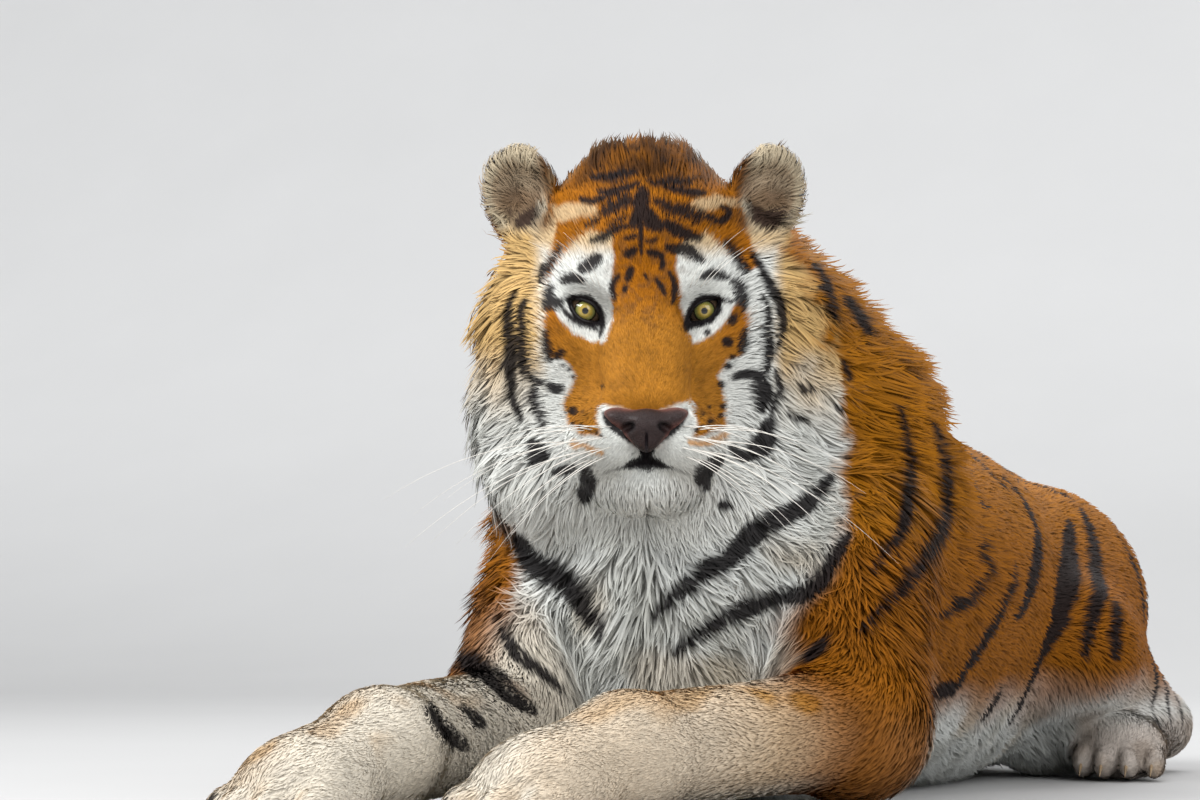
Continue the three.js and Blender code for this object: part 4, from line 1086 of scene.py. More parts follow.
def head_warmth(p, h, facing, u, v):
    """How orange the head is: by outlines where it faces the camera and by its own shape elsewhere."""
    x, y, z = h.T
    behind_face = smooth(-110, -170, z) * np.maximum(smooth(-190, -110, y), smooth(-140, -175, z))
    side_warm = np.maximum(behind_face, smooth(40, 80, y) * smooth(-60, -105, z))
    side_warm = np.maximum(side_warm, smooth(186, 222, np.abs(x)))
    front_warm = inside_of(u, v, ORANGE_OUTLINE, 2.2)
    for outline in EAR_WHITE:
        front_warm = front_warm * (1 - 0.85 * inside_of(u, v, outline, 3))
    front_warm = np.maximum(
        front_warm, smooth(-12, 10, past_ruff(u, v) + 15 * noise(p, 24, 5) + 6 * noise(p, 9, 17)),
    )
    front_warm = np.maximum(front_warm, smooth(*WARM_ON_CROWN, v))
    front_warm = np.maximum(front_warm, side_warm * smooth(*WARM_SIDES_UPWARDS, v))
    return side_warm + (front_warm - side_warm) * facing


def with_ears(colour, h):
    """The ears' pockets with painted shade that deepens to their middles, black backs with a white spot, and
    rims.
    """
    y, z = h[:, 1], h[:, 2]
    wide = np.abs(h[:, 0])
    cup = cup_at(h)
    inside = smooth(4, -3, cup) * (y > 70)
    # painted shade: the ear's hollow darkens towards its deepest middle
    deep = smooth(38, 19, np.hypot((wide - 136) * 1.15, y - 108))
    colour = mixed(colour, mixed(EAR_HAIR, EAR_POCKET_SHADE, deep), inside)
    behind = (1 - inside) * smooth(104, 116, y) * smooth(96, 108, wide) * smooth(-106, -118, z)
    spot = smooth(1.2, 0.8, np.hypot((wide - 138) / 18, (y - 134) / 16))
    colour = mixed(colour, mixed(BLACK, WHITE, spot), behind)
    rim = (1 - inside) * smooth(34, 20, cup) * smooth(78, 96, y) * smooth(92, 108, wide)
    rim = rim * smooth(-118, -104, z)
    return mixed(colour, mixed(EAR_RIM, EAR_ROOT, smooth(124, 106, wide)), rim * 0.95)


def head_colour(p, h, facing, u, v):
    """The head's colours without the stripes."""
    u = u + noise(p, 13, 3) * 2.6
    v = v + noise(p, 13, 4) * 2.6
    in_front = smooth(-70, -40, h[:, 2]) * smooth(1.25, 1.1, face_reach(h))
    facing = np.maximum(smooth(-0.05, 0.2, facing), in_front)
    colour = mixed(head_pale(p, u, v), head_tint(p, h, u, v), head_warmth(p, h, facing, u, v))
    colour = mixed(colour, BROWN, 0.42 * oval(u, v, *FOREHEAD) * smooth(0.0, 0.5, noise(p, 5, 21)))
    for fold in LIP_FOLDS:
        off = np.full(len(p), 99.0)
        for fold_u, fold_v in through([(*place, 0) for place in fold], 2)[:, :2]:
            off = np.minimum(off, np.hypot(u - fold_u, v - fold_v))
        edge = smooth(LIP_FOLD_WIDTH + 1.5, LIP_FOLD_WIDTH - 1.5, off)
        colour = mixed(colour, LIP_TAN, edge * facing * 0.8)
    by_eye = (h[:, 2] > -40) & (h[:, 2] < 60)
    colour = mixed(colour, BLACK, smooth(3.6, 2.2, almond_at(h)) * by_eye)
    near = np.flatnonzero((h[:, 2] > 10) & (h[:, 1] < -100))
    line = smooth(0.7, -0.9, lips_at(h[near])) * (0.4 + 0.52 * smooth(34, 18, np.abs(h[near, 0])))
    colour[near] = mixed(colour[near], BLACK, line)
    return with_ears(colour, h)


def body_colour(p, n, parts, facing, u, v):
    """The body's colours without the stripes: orange over a pale bib, belly and feet, and a ringed tail."""
    x, y, z = p.T
    z = z + noise(p, 70, 11) * 22
    facing = smooth(-0.4, -0.1, facing)
    past = past_ruff(u, v) + 14 * noise(p, 40, 5)
    base = mixed(FLANK, SADDLE, smooth(220, 420, z))
    base = base * (1 - 0.13 * smooth(0.0, 0.8, noise(p, 30, 16)))[:, None]

    bib_left = smooth(165, 112, x + noise(p, 40, 12) * 16)
    bib_right = smooth(-178, -150, x)
    bib = bib_left * bib_right * smooth(330, 210, y) * smooth(0.25, -0.35, n[:, 1] + 0.1)
    bib_seen = smooth(20, -20, past) * smooth(*BIB_DOWNWARDS, v) * (y < 330) * bib_right
    bib = bib + (bib_seen - bib) * facing
    warm = smooth(60, 150, z) * (1 - bib)

    outward = np.where(parts["fore_left"] < parts["fore_right"], n[:, 0], -n[:, 0])
    arm = smooth(12, -2, parts["fore"]) * smooth(150, 60, y) * smooth(250, 180, z)
    arm_warm = smooth(-0.1, 0.7, outward + 0.3 * n[:, 2]) * (0.25 + 0.65 * smooth(-300, 0, y))
    arm_warm = arm_warm + 0.4 * smooth(0.2, 0.7, noise(p, 44, 13)) * smooth(0.1, 0.8, n[:, 2])
    elbow = smooth(-110, 0, y) * facing * (x > 0)
    arm_warm = arm_warm + (smooth(-20, 20, past) - arm_warm) * elbow
    warm = warm * (1 - arm) + np.clip(arm_warm, 0, 1) * arm
    base = mixed(base, mixed(TAN, SADDLE, 0.4), arm * smooth(-20, -180, y))

    foot = smooth(10, 0, parts["hind"]) * smooth(110, 60, p[:, 2])
    warm = np.maximum(warm * (1 - foot), 0.4 * foot)
    tail = smooth(8, 0, parts["tail"])
    warm = np.maximum(warm * (1 - tail), tail * smooth(8, 38, p[:, 2]))
    pale = mixed(WHITE, GREY, 0.6 * smooth(-0.2, 0.8, noise(p, 40, 9)))
    pale = mixed(pale, TAN, 0.25 * smooth(0.0, 0.7, noise(p, 70, 10)))
    pale = mixed(pale, mixed(WHITE, TAN, 0.32), arm)
    along = parts["tail_share"]
    gap = 1 - np.abs((along * TAIL_RINGS) % 1 - 0.5) * 2
    ring = smooth(0.62, 0.5, gap + 0.12 * noise(p, 20, 15)) * smooth(0.05, 0.1, along)
    ring = np.maximum(ring, smooth(0.93, 0.95, along))
    return mixed(mixed(pale, base, warm), BLACK, ring * tail)


def banding(p, u, v):
    """How black each skin point is."""
    sway = drift(p, 17, 20) * 2.0
    warped = p + sway
    seen_at = np.stack([u, v], 1) + sway[:, :2] * 0.8
    black = np.zeros(len(p))
    for curve, half, places, depth in stripes:
        in_frame = places is not None
        room = half.max() + (depth if in_frame else 6)
        near = ((warped > curve.min(0) - room) & (warped < curve.max(0) + room)).all(1)
        if in_frame:
            room = half.max() + 2
            near &= ((seen_at > places.min(0) - room) & (seen_at < places.max(0) + room)).all(1)
        near = np.flatnonzero(near)
        if not len(near):
            continue
        q = seen_at[near] if in_frame else warped[near]
        best = np.full(len(q), 1e3)
        nearest = np.zeros(len(q), int)
        for k, (centre, reach) in enumerate(zip(places if in_frame else curve, half)):
            off = np.sqrt(((q - centre) ** 2).sum(1)) - reach
            closer = off < best
            best[closer] = off[closer]
            nearest[closer] = k
        shade = smooth(1.6, -1.2, best)
        if in_frame:
            shade = shade * smooth(depth, 0.77 * depth, np.linalg.norm(p[near] - curve[nearest], axis=1))
        black[near] = np.maximum(black[near], shade)
    return black


def coat_colour(p, n, at=None, size=200000):
    """The colour of the coat over each skin point, for fur that stands at a place above it."""
    out = np.empty((len(p), 3))
    for k in range(0, len(p), size):
        q = p[k:k + size].astype(np.float32)
        h = to_head(q)
        m = n[k:k + size]
        u, v = in_view(q if at is None else at[k:k + size])
        facing = -(m * unit(q - view_eye)).sum(1)
        head = smooth(-34, 6, head_side(h) + noise(q, 40, 2) * 12)
        body = body_colour(q, m, groups_at(q), facing, u, v)
        colour = mixed(body, head_colour(q, h, facing, u, v), head)
        out[k:k + size] = mixed(colour, BLACK, banding(q, u, v) * 0.97)
    return out


# ---------------------------------------------------------------- the lie of the coat
def leg_chain(leg, radii, first, second=None):
    """Each length of a leg: its ends, its radii and the way that its fur lies."""
    top, middle, heel, paw = (np.array(joint, float) for joint in leg.values())
    ahead = unit(np.array([paw[0] - heel[0], paw[1] - heel[1], 0]))
    second = unit(heel - middle) if second is None else np.array(second, float)
    return [
        (top, middle, radii[0], unit(np.array(first, float))),
        (middle, heel, radii[1], second),
        (heel, paw, radii[2], unit(paw - heel)),
        (paw, paw + ahead * 70, (52, 40), unit(ahead + [0, 0, -0.25])),
    ]


chains = [part for leg in FORE.values() for part in leg_chain(leg, FORE_RADII, [0, 0.1, -1])]
chains += [part for leg in HIND.values() for part in leg_chain(leg, HIND_RADII, [0, 0.8, -0.6], [0, 1, -0.2])]


def ways(x, y, z):
    """Directions from their three parts, some of which may be the same for all."""
    return np.stack(np.broadcast_arrays(x, y, z), 1)


def head_lie(h):
    """The way that the fur of the head lies: away from the nose, down the ruff and chin, over the ears."""
    y, z = h[:, 1], h[:, 2]
    side, wide = np.sign(h[:, 0]), np.abs(h[:, 0])
    flow = unit(h - np.array([0, -112, 92.0]))
    fall = unit(ways(0.42 * side, -0.85, -0.42))
    flow = mixed(flow, fall, smooth(0.8, 1.15, face_reach(h)) * smooth(90, 20, y))
    flow = mixed(flow, ways(0.15 * side, -0.95, -0.1), smooth(-150, -185, y) * smooth(90, 60, wide))
    cup = cup_at(h)
    inside = smooth(8, -2, cup) * (y > 60)
    across = ways(0.85 * side, 0.5, 0.22)
    flow = mixed(flow, mixed(ways(-0.15 * side, 0.8, 0.45), across, smooth(146, 126, wide)), inside)
    back = (1 - inside) * smooth(96, 112, y) * smooth(88, 104, wide)
    flow = mixed(flow, ways(0.35 * side, 1.0, 0.0), back)
    outward = unit(h - ways(138 * side, 122, z)) + [0, 0.2, 0.1]
    rim = (1 - inside) * smooth(24, 10, cup) * smooth(84, 100, y) * smooth(92, 108, wide)
    flow = mixed(flow, mixed(outward, across, smooth(124, 112, wide)), rim)
    return unit(flow) @ HEAD_AXES


def lie_at(p, parts, h):
    """The way that the coat lies, blended from the nearest forms."""
    def pull(off, low=-30, fade=18):
        return np.exp(-np.clip(off, low, FAR) / fade)[:, None]

    total = ways(0.1 * np.sign(p[:, 0]), 1.0, -0.42) * np.exp(-parts["torso"] / 18)[:, None]
    for start, end, radii, direction in chains:
        total = total + direction * pull(limb(start, end, *radii)[0](p))
    total = total + head_lie(h) * pull(np.minimum(parts["head"], parts["ears"]), -40) * 2
    _, heading = tail_course(parts["tail_share"])
    total = total + heading * pull(parts["tail"], fade=10) * 3
    return unit(total)


def coat_style(p, h, parts):
    """Length, width and rise of the coat in millimetres, and how closely it stands (per square mm)."""
    y, z = p[:, 1], p[:, 2]
    head_y, head_z = h[:, 1], h[:, 2]
    head_wide = np.abs(h[:, 0])
    style = [np.full(len(p), value) for value in (30.0, 2.7, 10.0, 1 / 13.6)]

    def change(share, *values):
        for array, value in zip(style, values):
            array += (value - array) * share

    room = head_side(h)
    change(smooth(-210, -40, room), 66, 3.3, 23, 1 / 17)
    change(smooth(100, 60, z) * smooth(100, 260, y), 44, 3.0, 12, 1 / 14)
    on_fore = smooth(10, 0, parts["fore"])
    change(on_fore * smooth(150, -40, y), 22, 2.7, 2.6, 1 / 10)
    change(on_fore * smooth(-160, -330, y), 12, 2.0, 1.7, 1 / 7)
    change(smooth(10, 0, parts["hind"]) * smooth(120, 70, z), 15, 2.1, 2.2, 1 / 8)
    change(smooth(8, 0, parts["tail"]), 30, 3.2, 8.5, 1 / 26)

    head = smooth(-12, 4, room)
    reach = face_reach(h)
    ruff = smooth(0.75, 1.2, reach) * smooth(110, 20, head_y)
    change(head, 16, 1.9, 6, 1 / 6.5)
    change(head * ruff, 56, 2.9, 17, 1 / 10)
    change(head * ruff * smooth(-40, -110, head_z), 76, 3.2, 27, 1 / 11.5)
    change(head * smooth(118, 142, head_y) * smooth(104, 84, head_wide), 48, 2.3, 16, 1 / 6.6)
    face = smooth(1.0, 0.7, reach) * smooth(-90, -30, head_z)
    change(head * face, 9, 1.35, 3.0, 1 / 4)
    bridge = smooth(1.2, 0.8, np.hypot(h[:, 0] / 70, (head_y + 60) / 110))
    change(head * face * bridge, 6, 1.15, 2.2, 1 / 3.2)
    change(smooth(-168, -195, head_y) * smooth(100, 60, head_wide) * head, 34, 2.2, 9, 1 / 6)

    cup = cup_at(h)
    inside = smooth(6, -3, cup) * (head_y > 60) * head
    change(inside, 24 + 32 * smooth(146, 126, head_wide), 1.7, 24, 1 / 6)
    rim = (1 - inside) * smooth(22, 8, cup) * smooth(80, 98, head_y) * smooth(92, 108, head_wide) * head
    change((1 - inside) * smooth(96, 110, head_y) * smooth(92, 104, head_wide) * head, 9, 1.5, 3.4, 1 / 5)
    change(rim * smooth(-118, -104, head_z), 30, 1.7, 11, 1 / 6)
    return style


def bare(p, h):
    """Where no coat grows: the eyes, the nose, the lips and the underside."""
    x, y, z = h.T
    eye = (almond_at(h) < 1.5) & (z > -45) & (z < 60)
    nose = nose_at(h.astype(np.float32)) < 2.5
    out = eye | nose | (p[:, 2] < 5)
    near = np.flatnonzero((z > 60) & (y < -130) & (np.abs(x) < 60))
    out[near] |= lips_at(h[near]) < -0.7
    return out


# each piece of the coat: its slot, the rows of points along a tuft and the size of its locks
PIECES = {
    "face": ("face_coat", 3, 10),
    "crown": ("face_coat", 5, 18),
    "ruff_left": ("mane_coat", 8, 34),
    "ruff_right": ("mane_coat", 8, 34),
    "mane": ("mane_coat", 6, 36),
    "bib": ("mane_coat", 6, 36),
    "side_left": ("body_coat", 4, 22),
    "side_right": ("body_coat", 4, 22),
    "rump_left": ("body_coat", 4, 22),
    "rump_right": ("body_coat", 4, 22),
    "forelegs": ("leg_coat", 3, 14),
    "hindlegs": ("leg_coat", 3, 16),
    "tail": ("body_coat", 4, 22),
}
NUMBER = {name: number for number, name in enumerate(PIECES)}


def piece_of(p):
    """The number of the piece of coat that grows at each point of the skin."""
    x, y, z = p.T
    h = to_head(p)
    parts = groups_at(p)
    left = x > 0
    out = np.where(left, NUMBER["side_left"], NUMBER["side_right"])
    out = np.where(y > 880, np.where(left, NUMBER["rump_left"], NUMBER["rump_right"]), out)
    out[y < 330] = NUMBER["bib"]
    out[(y < 480) & (z > 360)] = NUMBER["mane"]
    out[(parts["fore"] < parts["torso"]) & (y < 130) & (z < 230)] = NUMBER["forelegs"]
    out[(parts["hind"] < parts["torso"]) & (z < 110) & (y > 780)] = NUMBER["hindlegs"]
    out[parts["tail"] < np.minimum(parts["torso"], parts["hind"])] = NUMBER["tail"]
    head = head_side(h) > 0
    ruff = np.where(h[:, 0] > 0, NUMBER["ruff_left"], NUMBER["ruff_right"])
    out = np.where(head, np.where(h[:, 1] > 55, NUMBER["crown"], ruff), out)
    out[head & (face_reach(h) < 0.95) & (h[:, 2] > -80)] = NUMBER["face"]
    return out


def unwrap_of(name, p, h, parts):
    """Each root's place on the unwrapped skin of its piece: from the face outwards, or round the body."""
    x, y, z = p.T
    if name in ("face", "crown", "ruff_left", "ruff_right"):
        d = unit(h - np.array([0, -30, -70.0]))
        reach = np.arccos(np.clip(d[:, 2], -1, 1))
        turn = np.arctan2(d[:, 1], d[:, 0])
        flat = np.stack([reach * np.cos(turn), reach * np.sin(turn)], 1)
    elif name == "tail":
        middle, heading = tail_course(parts["tail_share"])
        d = p - middle
        aside = unit(np.cross(heading, [0, 0, 1.0]))
        flat = np.stack([parts["tail_share"] * 4, np.arctan2((d * aside).sum(1), d[:, 2])], 1)
    elif name in ("forelegs", "hindlegs"):
        legs, ends, split = {
            "forelegs": (FORE, ("middle", "heel", "paw"), -30),
            "hindlegs": (HIND, ("heel", "paw"), 0),
        }[name]
        left = x > split
        angle = np.zeros(len(p))
        for side, mask in (("left", left), ("right", ~left)):
            spots = sorted((legs[side][end][1], legs[side][end][0]) for end in ends)
            middle = np.interp(y, [spot[0] for spot in spots], [spot[1] for spot in spots])
            angle = np.where(mask, np.arctan2(x - middle, z - 48), angle)
        flat = np.stack([(y - y.min()) / np.ptp(y) + 1.04 * left, angle], 1)
    else:
        flat = np.stack([y, np.arctan2(x, z - BARREL_HEIGHT)], 1)
    low, high = flat.min(0), flat.max(0)
    return 0.01 + 0.98 * (flat - low) / (high - low)


# ---------------------------------------------------------------- meshes and materials
def textured(nodes, links, scale, detail):
    """A noise texture over the object's own coordinates."""
    place = nodes.new("ShaderNodeTexCoord")
    texture = nodes.new("ShaderNodeTexNoise")
    texture.inputs["Scale"].default_value = scale
    texture.inputs["Detail"].default_value = detail
    links.new(place.outputs["Object"], texture.inputs["Vector"])
    return texture.outputs["Fac"]


def material(name, roughness, colour=None, bump=0.0, bump_scale=300.0, vary=0.05, vary_scale=40.0,
             specular=0.3, coat=0.0):
    """A finish of one colour, or of the colours in the mesh when none is given."""
    finish = bpy.data.materials.new(name)
    finish.use_nodes = True
    nodes, links = finish.node_tree.nodes, finish.node_tree.links
    shader = nodes["Principled BSDF"]
    shader.inputs["Roughness"].default_value = roughness
    shader.inputs["Specular IOR Level"].default_value = specular
    shader.inputs["Coat Weight"].default_value = coat
    shader.inputs["Coat Roughness"].default_value = 0.04
    if colour is None:
        source = nodes.new("ShaderNodeAttribute")
        source.attribute_name = "coat"
    else:
        source = nodes.new("ShaderNodeRGB")
        source.outputs["Color"].default_value = (*colour, 1)
    shade = nodes.new("ShaderNodeMapRange")
    shade.inputs["From Min"].default_value = 0.3
    shade.inputs["From Max"].default_value = 0.7
    shade.inputs["To Min"].default_value = 1 - vary
    shade.inputs["To Max"].default_value = 1 + vary
    links.new(textured(nodes, links, vary_scale, 4), shade.inputs["Value"])
    scale = nodes.new("ShaderNodeVectorMath")
    scale.operation = "SCALE"
    links.new(source.outputs["Color"], scale.inputs[0])
    links.new(shade.outputs["Result"], scale.inputs["Scale"])
    links.new(scale.outputs[0], shader.inputs["Base Color"])
    if bump:
        relief = nodes.new("ShaderNodeBump")
        relief.inputs["Strength"].default_value = bump
        relief.inputs["Distance"].default_value = 0.002
        links.new(textured(nodes, links, bump_scale, 3), relief.inputs["Height"])
        links.new(relief.outputs["Normal"], shader.inputs["Normal"])
    return finish


fur = material("fur", 0.72, vary=0.10, vary_scale=26, specular=0.12)
hide = material("hide", 0.9, bump=0.5, bump_scale=520, vary=0.16, vary_scale=210, specular=0.1)


def mesh_piece(name, points, faces, finish, slot, colours=None, normals=None, uvs=None):
    """A new piece, from points in the tiger's own millimetres and faces with equal numbers of corners."""
    faces = np.asarray(faces)
    corners = faces.shape[1]
    mesh = bpy.data.meshes.new(name)
    mesh.vertices.add(len(points))
    mesh.vertices.foreach_set("co", placed(points).astype(np.float32).ravel())
    mesh.loops.add(faces.size)
    mesh.loops.foreach_set("vertex_index", faces.astype(np.int32).ravel())
    mesh.polygons.add(len(faces))
    mesh.polygons.foreach_set("loop_start", np.arange(0, faces.size, corners, dtype=np.int32))
    mesh.polygons.foreach_set("use_smooth", np.ones(len(faces), bool))
    mesh.update(calc_edges=True)
    if colours is not None:
        layer = mesh.color_attributes.new("coat", "FLOAT_COLOR", "POINT")
        rgba = np.concatenate([np.clip(colours, 0, 1), np.ones((len(points), 1))], 1)
        layer.data.foreach_set("color", rgba.astype(np.float32).ravel())
    if uvs is not None:
        layer = mesh.uv_layers.new(name="OFBake")
        layer.data.foreach_set("uv", uvs[faces.ravel()].astype(np.float32).ravel())
    if normals is not None:
        mesh.normals_split_custom_set_from_vertices(normals.astype(np.float32))
    mesh.materials.append(finish)
    thing = bpy.data.objects.new(name, mesh)
    bpy.context.scene.collection.objects.link(thing)
    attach(thing, "root")
    return thing


def triangles_of(quads):
    return np.concatenate([quads[:, [0, 1, 2]], quads[:, [0, 2, 3]]])


def style_part(points, part):
    """One part of the coat's style over many points: 0 for its length and 3 for how closely it stands."""
    return in_chunks(lambda q: coat_style(q, to_head(q), groups_at(q))[part], points)


def skin_colours(points):
    """The colours of the coat above the skin, with painted shade that darkens them under the coat, most where
    the coat is long.
    """
    slope = unit(skin_slope(points))
    outer = (points + slope * depths_under(points)[:, None]).astype(np.float32)
    # painted shade: the skin is darkened for the shade of the coat over it, more where the coat is long
    return coat_colour(outer, slope) * (0.92 - 0.27 * smooth(12, 50, style_part(points, 0)))[:, None]


LEG_PARTS = ("upper_arm", "forearm", "forepaw", "thigh", "shank", "hindpaw")
BODY_NODES = ["neck", "chest", "belly", "hindquarters", *(f"tail_{number}" for number in (1, 2, 3, 4))]
BODY_NODES += [f"{part}_{side}" for part in LEG_PARTS for side in ("left", "right")]
skin_body = mesh_piece("skin_body", body_points, body_quads, hide, "body_coat", skin_colours(body_points))
skin_head = mesh_piece("skin_head", head_points, head_quads, hide, "face_coat", skin_colours(head_points))
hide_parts(*BODY_NODES)
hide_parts("head", "ear_left", "ear_right")

# ---------------------------------------------------------------- the coat
ROOT_SINK = 1.2
FUR_FLOOR = 0.7
UV_PATCH = 0.003
LOCK_PULL = 14
SKIN_PULL = 12
TUFT_SHARES = [0, 0.25, 0.5, 0.75, 1]
TUFT_WIDTHS = [0.75, 1.0, 0.85, 0.6, 0.0]


def scattered(points, triangles, rng):
    """Roots over the skin, as closely as the coat's style says."""
    a, b, c = (points[triangles[:, k]] for k in range(3))
    area = 0.5 * np.linalg.norm(np.cross(b - a, c - a), axis=1)
    running = np.cumsum(area * style_part((a + b + c) / 3, 3))
    count = int(running[-1])
    at = (np.arange(count) + rng.random(count)) * (running[-1] / count)
    chosen = np.minimum(np.searchsorted(running, at), len(triangles) - 1)
    r, s = rng.random(count), rng.random(count)
    flip = r + s > 1
    r, s = np.where(flip, 1 - r, r), np.where(flip, 1 - s, s)
    a, b, c = a[chosen], b[chosen], c[chosen]
    return a + r[:, None] * (b - a) + s[:, None] * (c - a)


def across_skin(way, normal, share=1):
    """A direction laid into the skin, or by a share of that."""
    return unit(way - normal * (way * normal).sum(1, keepdims=True) * share)


def tuft_faces(count, steps):
    """The triangles of tufts that have two points at each step and one at the tip."""
    tip = 2 * (steps - 1)
    faces = []
    for k in range(0, tip - 2, 2):
        faces += [[k, k + 2, k + 1], [k + 1, k + 2, k + 3]]
    faces.append([tip - 2, tip, tip - 1])
    return (np.array(faces)[None] + (np.arange(count) * (tip + 1))[:, None, None]).reshape(-1, 3)


def moved_on(ground, normal, lie, travel, gather, gather_share, follow):
    """The next step of tufts: along the coat, towards their locks and back onto the skin."""
    ground = ground + across_skin(lie, normal, follow[:, None]) * travel[:, None]
    pull = gather - ground
    pull -= normal * (pull * normal).sum(1, keepdims=True)
    reach = np.linalg.norm(pull, axis=1, keepdims=True)
    pull *= np.minimum(1, LOCK_PULL / np.maximum(reach, 1e-6))
    ground = ground + pull * gather_share[:, None]
    q = ground.astype(np.float32)
    slope = skin_slope(q)
    steep = np.maximum((slope ** 2).sum(1), 0.3)
    move = np.clip(skin_value(q) / steep, -SKIN_PULL, SKIN_PULL) * follow
    return ground - slope * move[:, None], unit(0.3 * normal + unit(slope))


def tufts(name, roots, rng):
    """One piece of coat: a flat tapered tuft at every root, lying along the coat."""
    slot, steps, lock_size = PIECES[name]
    h = to_head(roots)
    parts = groups_at(roots)
    count = len(roots)
    length, width, rise, _ = coat_style(roots, h, parts)
    length = length * (0.72 + 0.5 * rng.random(count))
    width = width * (0.7 + 0.6 * rng.random(count))
    rise = rise * (0.6 + 0.55 * rng.random(count))
    swing = drift(roots, 46, 30) * 0.32
    swing += rng.normal(0, 0.11, (count, 3))
    lie = unit(lie_at(roots, parts, h) + swing)
    tone = 0.86 + 0.28 * rng.random(count)
    roll = rng.normal(0, 0.28, count)[:, None]

    # long tufts gather into locks, and each lock has its own length and rise
    long = smooth(24, 62, length)
    gather = clump_centre(roots + lie * length[:, None] * 0.6, lock_size, 40)
    luck = hashed(np.floor(gather * 3.1), 50)
    length = length * (1 + long * (0.5 * luck - 0.2))
    rise = rise * (1 + long * (1.1 * luck - 0.5))
    # painted shade: each tuft is darkened at its root and lightened towards its tip, more deeply where the
    # fur is long, for the shade that falls between the hairs
    root_shade = 0.86 - 0.3 * smooth(12, 50, length)

    depth = depths_under(roots)
    uv_root = unwrap_of(name, roots, h, parts)
    crest = smooth(112, 140, h[:, 1]) * smooth(112, 92, np.abs(h[:, 0])) * (name == "crown")
    in_ear = smooth(4, -4, cup_at(h)) * (h[:, 1] > 70) * (name == "crown")
    follow = 1 - 0.9 * in_ear
    ground = roots.copy()
    normal = unit(skin_slope(ground))
    shares = np.linspace(0, 1, steps)
    points, colours, normals, uvs = [], [], [], []
    for k, t in enumerate(shares):
        if k:
            travel = length * (t - shares[k - 1])
            gather_share = (0.15 + 0.7 * long) * t * t * 0.6
            ground, normal = moved_on(ground, normal, lie, travel, gather, gather_share, follow)
        lifted = (1 - long) * (1 - (1 - t) ** 2.2) + long * (0.4 * (1 - (1 - t) ** 2) + 0.6 * t ** 1.3)
        height = rise * lifted * follow - ROOT_SINK * (1 - t)
        centre = ground + normal * height[:, None]
        ahead = across_skin(lie, normal)
        across = unit(np.cross(ahead, normal) * np.cos(roll) + normal * np.sin(roll))
        half = width / 2 * np.interp(t, TUFT_SHARES, TUFT_WIDTHS)
        outer = (ground + normal * depth[:, None]).astype(np.float32)
        blur = rng.normal(0, 1, (count, 1)) * 1.2
        colour = coat_colour(outer + ahead.astype(np.float32) * blur.astype(np.float32), normal, centre)
        # the painted shade from root to tip, times each tuft's own tone and the dark tips of the crest
        shade = (root_shade + (1.08 - root_shade) * t ** 0.8) * tone * (1 - 0.55 * crest * smooth(0.3, 1, t))
        for side in (1, -1) if k < steps - 1 else (0,):
            points.append(centre + across * (half * side)[:, None])
            colours.append(colour * shade[:, None])
            normals.append(normal)
            uvs.append(uv_root + np.array([side * UV_PATCH / 2, UV_PATCH * (t - 0.5)]))
    points, colours, normals, uvs = (
        np.stack(rows, 1).reshape(-1, rows[0].shape[1]) for rows in (points, colours, normals, uvs)
    )
    points[:, 2] = np.maximum(points[:, 2], FUR_FLOOR)
    mesh_piece("coat_" + name, points, tuft_faces(count, steps), fur, slot, colours, normals, uvs)


rng = np.random.default_rng(11)
body_roots = scattered(body_points, triangles_of(body_quads), rng)
head_roots = scattered(head_points, triangles_of(head_quads), rng)
roots = np.concatenate([
    body_roots[head_side(to_head(body_roots)) <= 0],
    head_roots[head_side(to_head(head_roots)) > 0],
])
roots = roots[~bare(roots, to_head(roots))]
piece_numbers = in_chunks(piece_of, roots)
for number, name in enumerate(PIECES):
    tufts(name, roots[piece_numbers == number].astype(np.float32), rng)

# ---------------------------------------------------------------- eyes
EYE_RINGS = 46
EYE_SPOKES = 64
CORNEA_RISE = 1.3
EYE_SINK = 0.6
LID_RIM = 2.1


def eye_colours(h):
    """A black pupil, a streaked yellow iris that greens outwards, and a dark edge."""
    reach = np.where(h[:, 2] < 0, 3, np.hypot(h[:, 0], h[:, 1]) / IRIS_RADIUS)
    turn = np.arctan2(h[:, 1], h[:, 0])
    streak = 0.5 + 0.5 * np.sin(turn * 23 + 3 * np.sin(turn * 5)) * np.sin(turn * 9 + 1)
    iris = mixed(IRIS_INNER, IRIS_OUTER, smooth(0.45, 0.95, reach + 0.12 * (streak - 0.5)))
    iris = iris * (0.8 + 0.35 * streak)[:, None]
    colour = mixed(PUPIL[None], iris, smooth(0.30, 0.36, reach))
    colour = mixed(colour, IRIS_EDGE, smooth(0.9, 1.02, reach))
    return mixed(colour, EYE_WHITE, smooth(1.04, 1.25, reach))


def eye_triangles():
    """Triangles over the rings of an eye, with one point in front and one behind."""
    last_ring = 1 + (EYE_RINGS - 3) * EYE_SPOKES
    behind = last_ring + EYE_SPOKES
    faces = []
    for k in range(EYE_SPOKES):
        n = (k + 1) % EYE_SPOKES
        faces.append([0, 1 + k, 1 + n, 1 + n])
        for a in range(1, last_ring, EYE_SPOKES):
            b = a + EYE_SPOKES
            faces.append([a + k, b + k, b + n, a + n])
        faces.append([last_ring + k, behind, last_ring + n, last_ring + n])
    triangles = triangles_of(np.array(faces))
    corners = np.sort(triangles, 1)
    return triangles[(corners[:, 0] != corners[:, 1]) & (corners[:, 1] != corners[:, 2])]


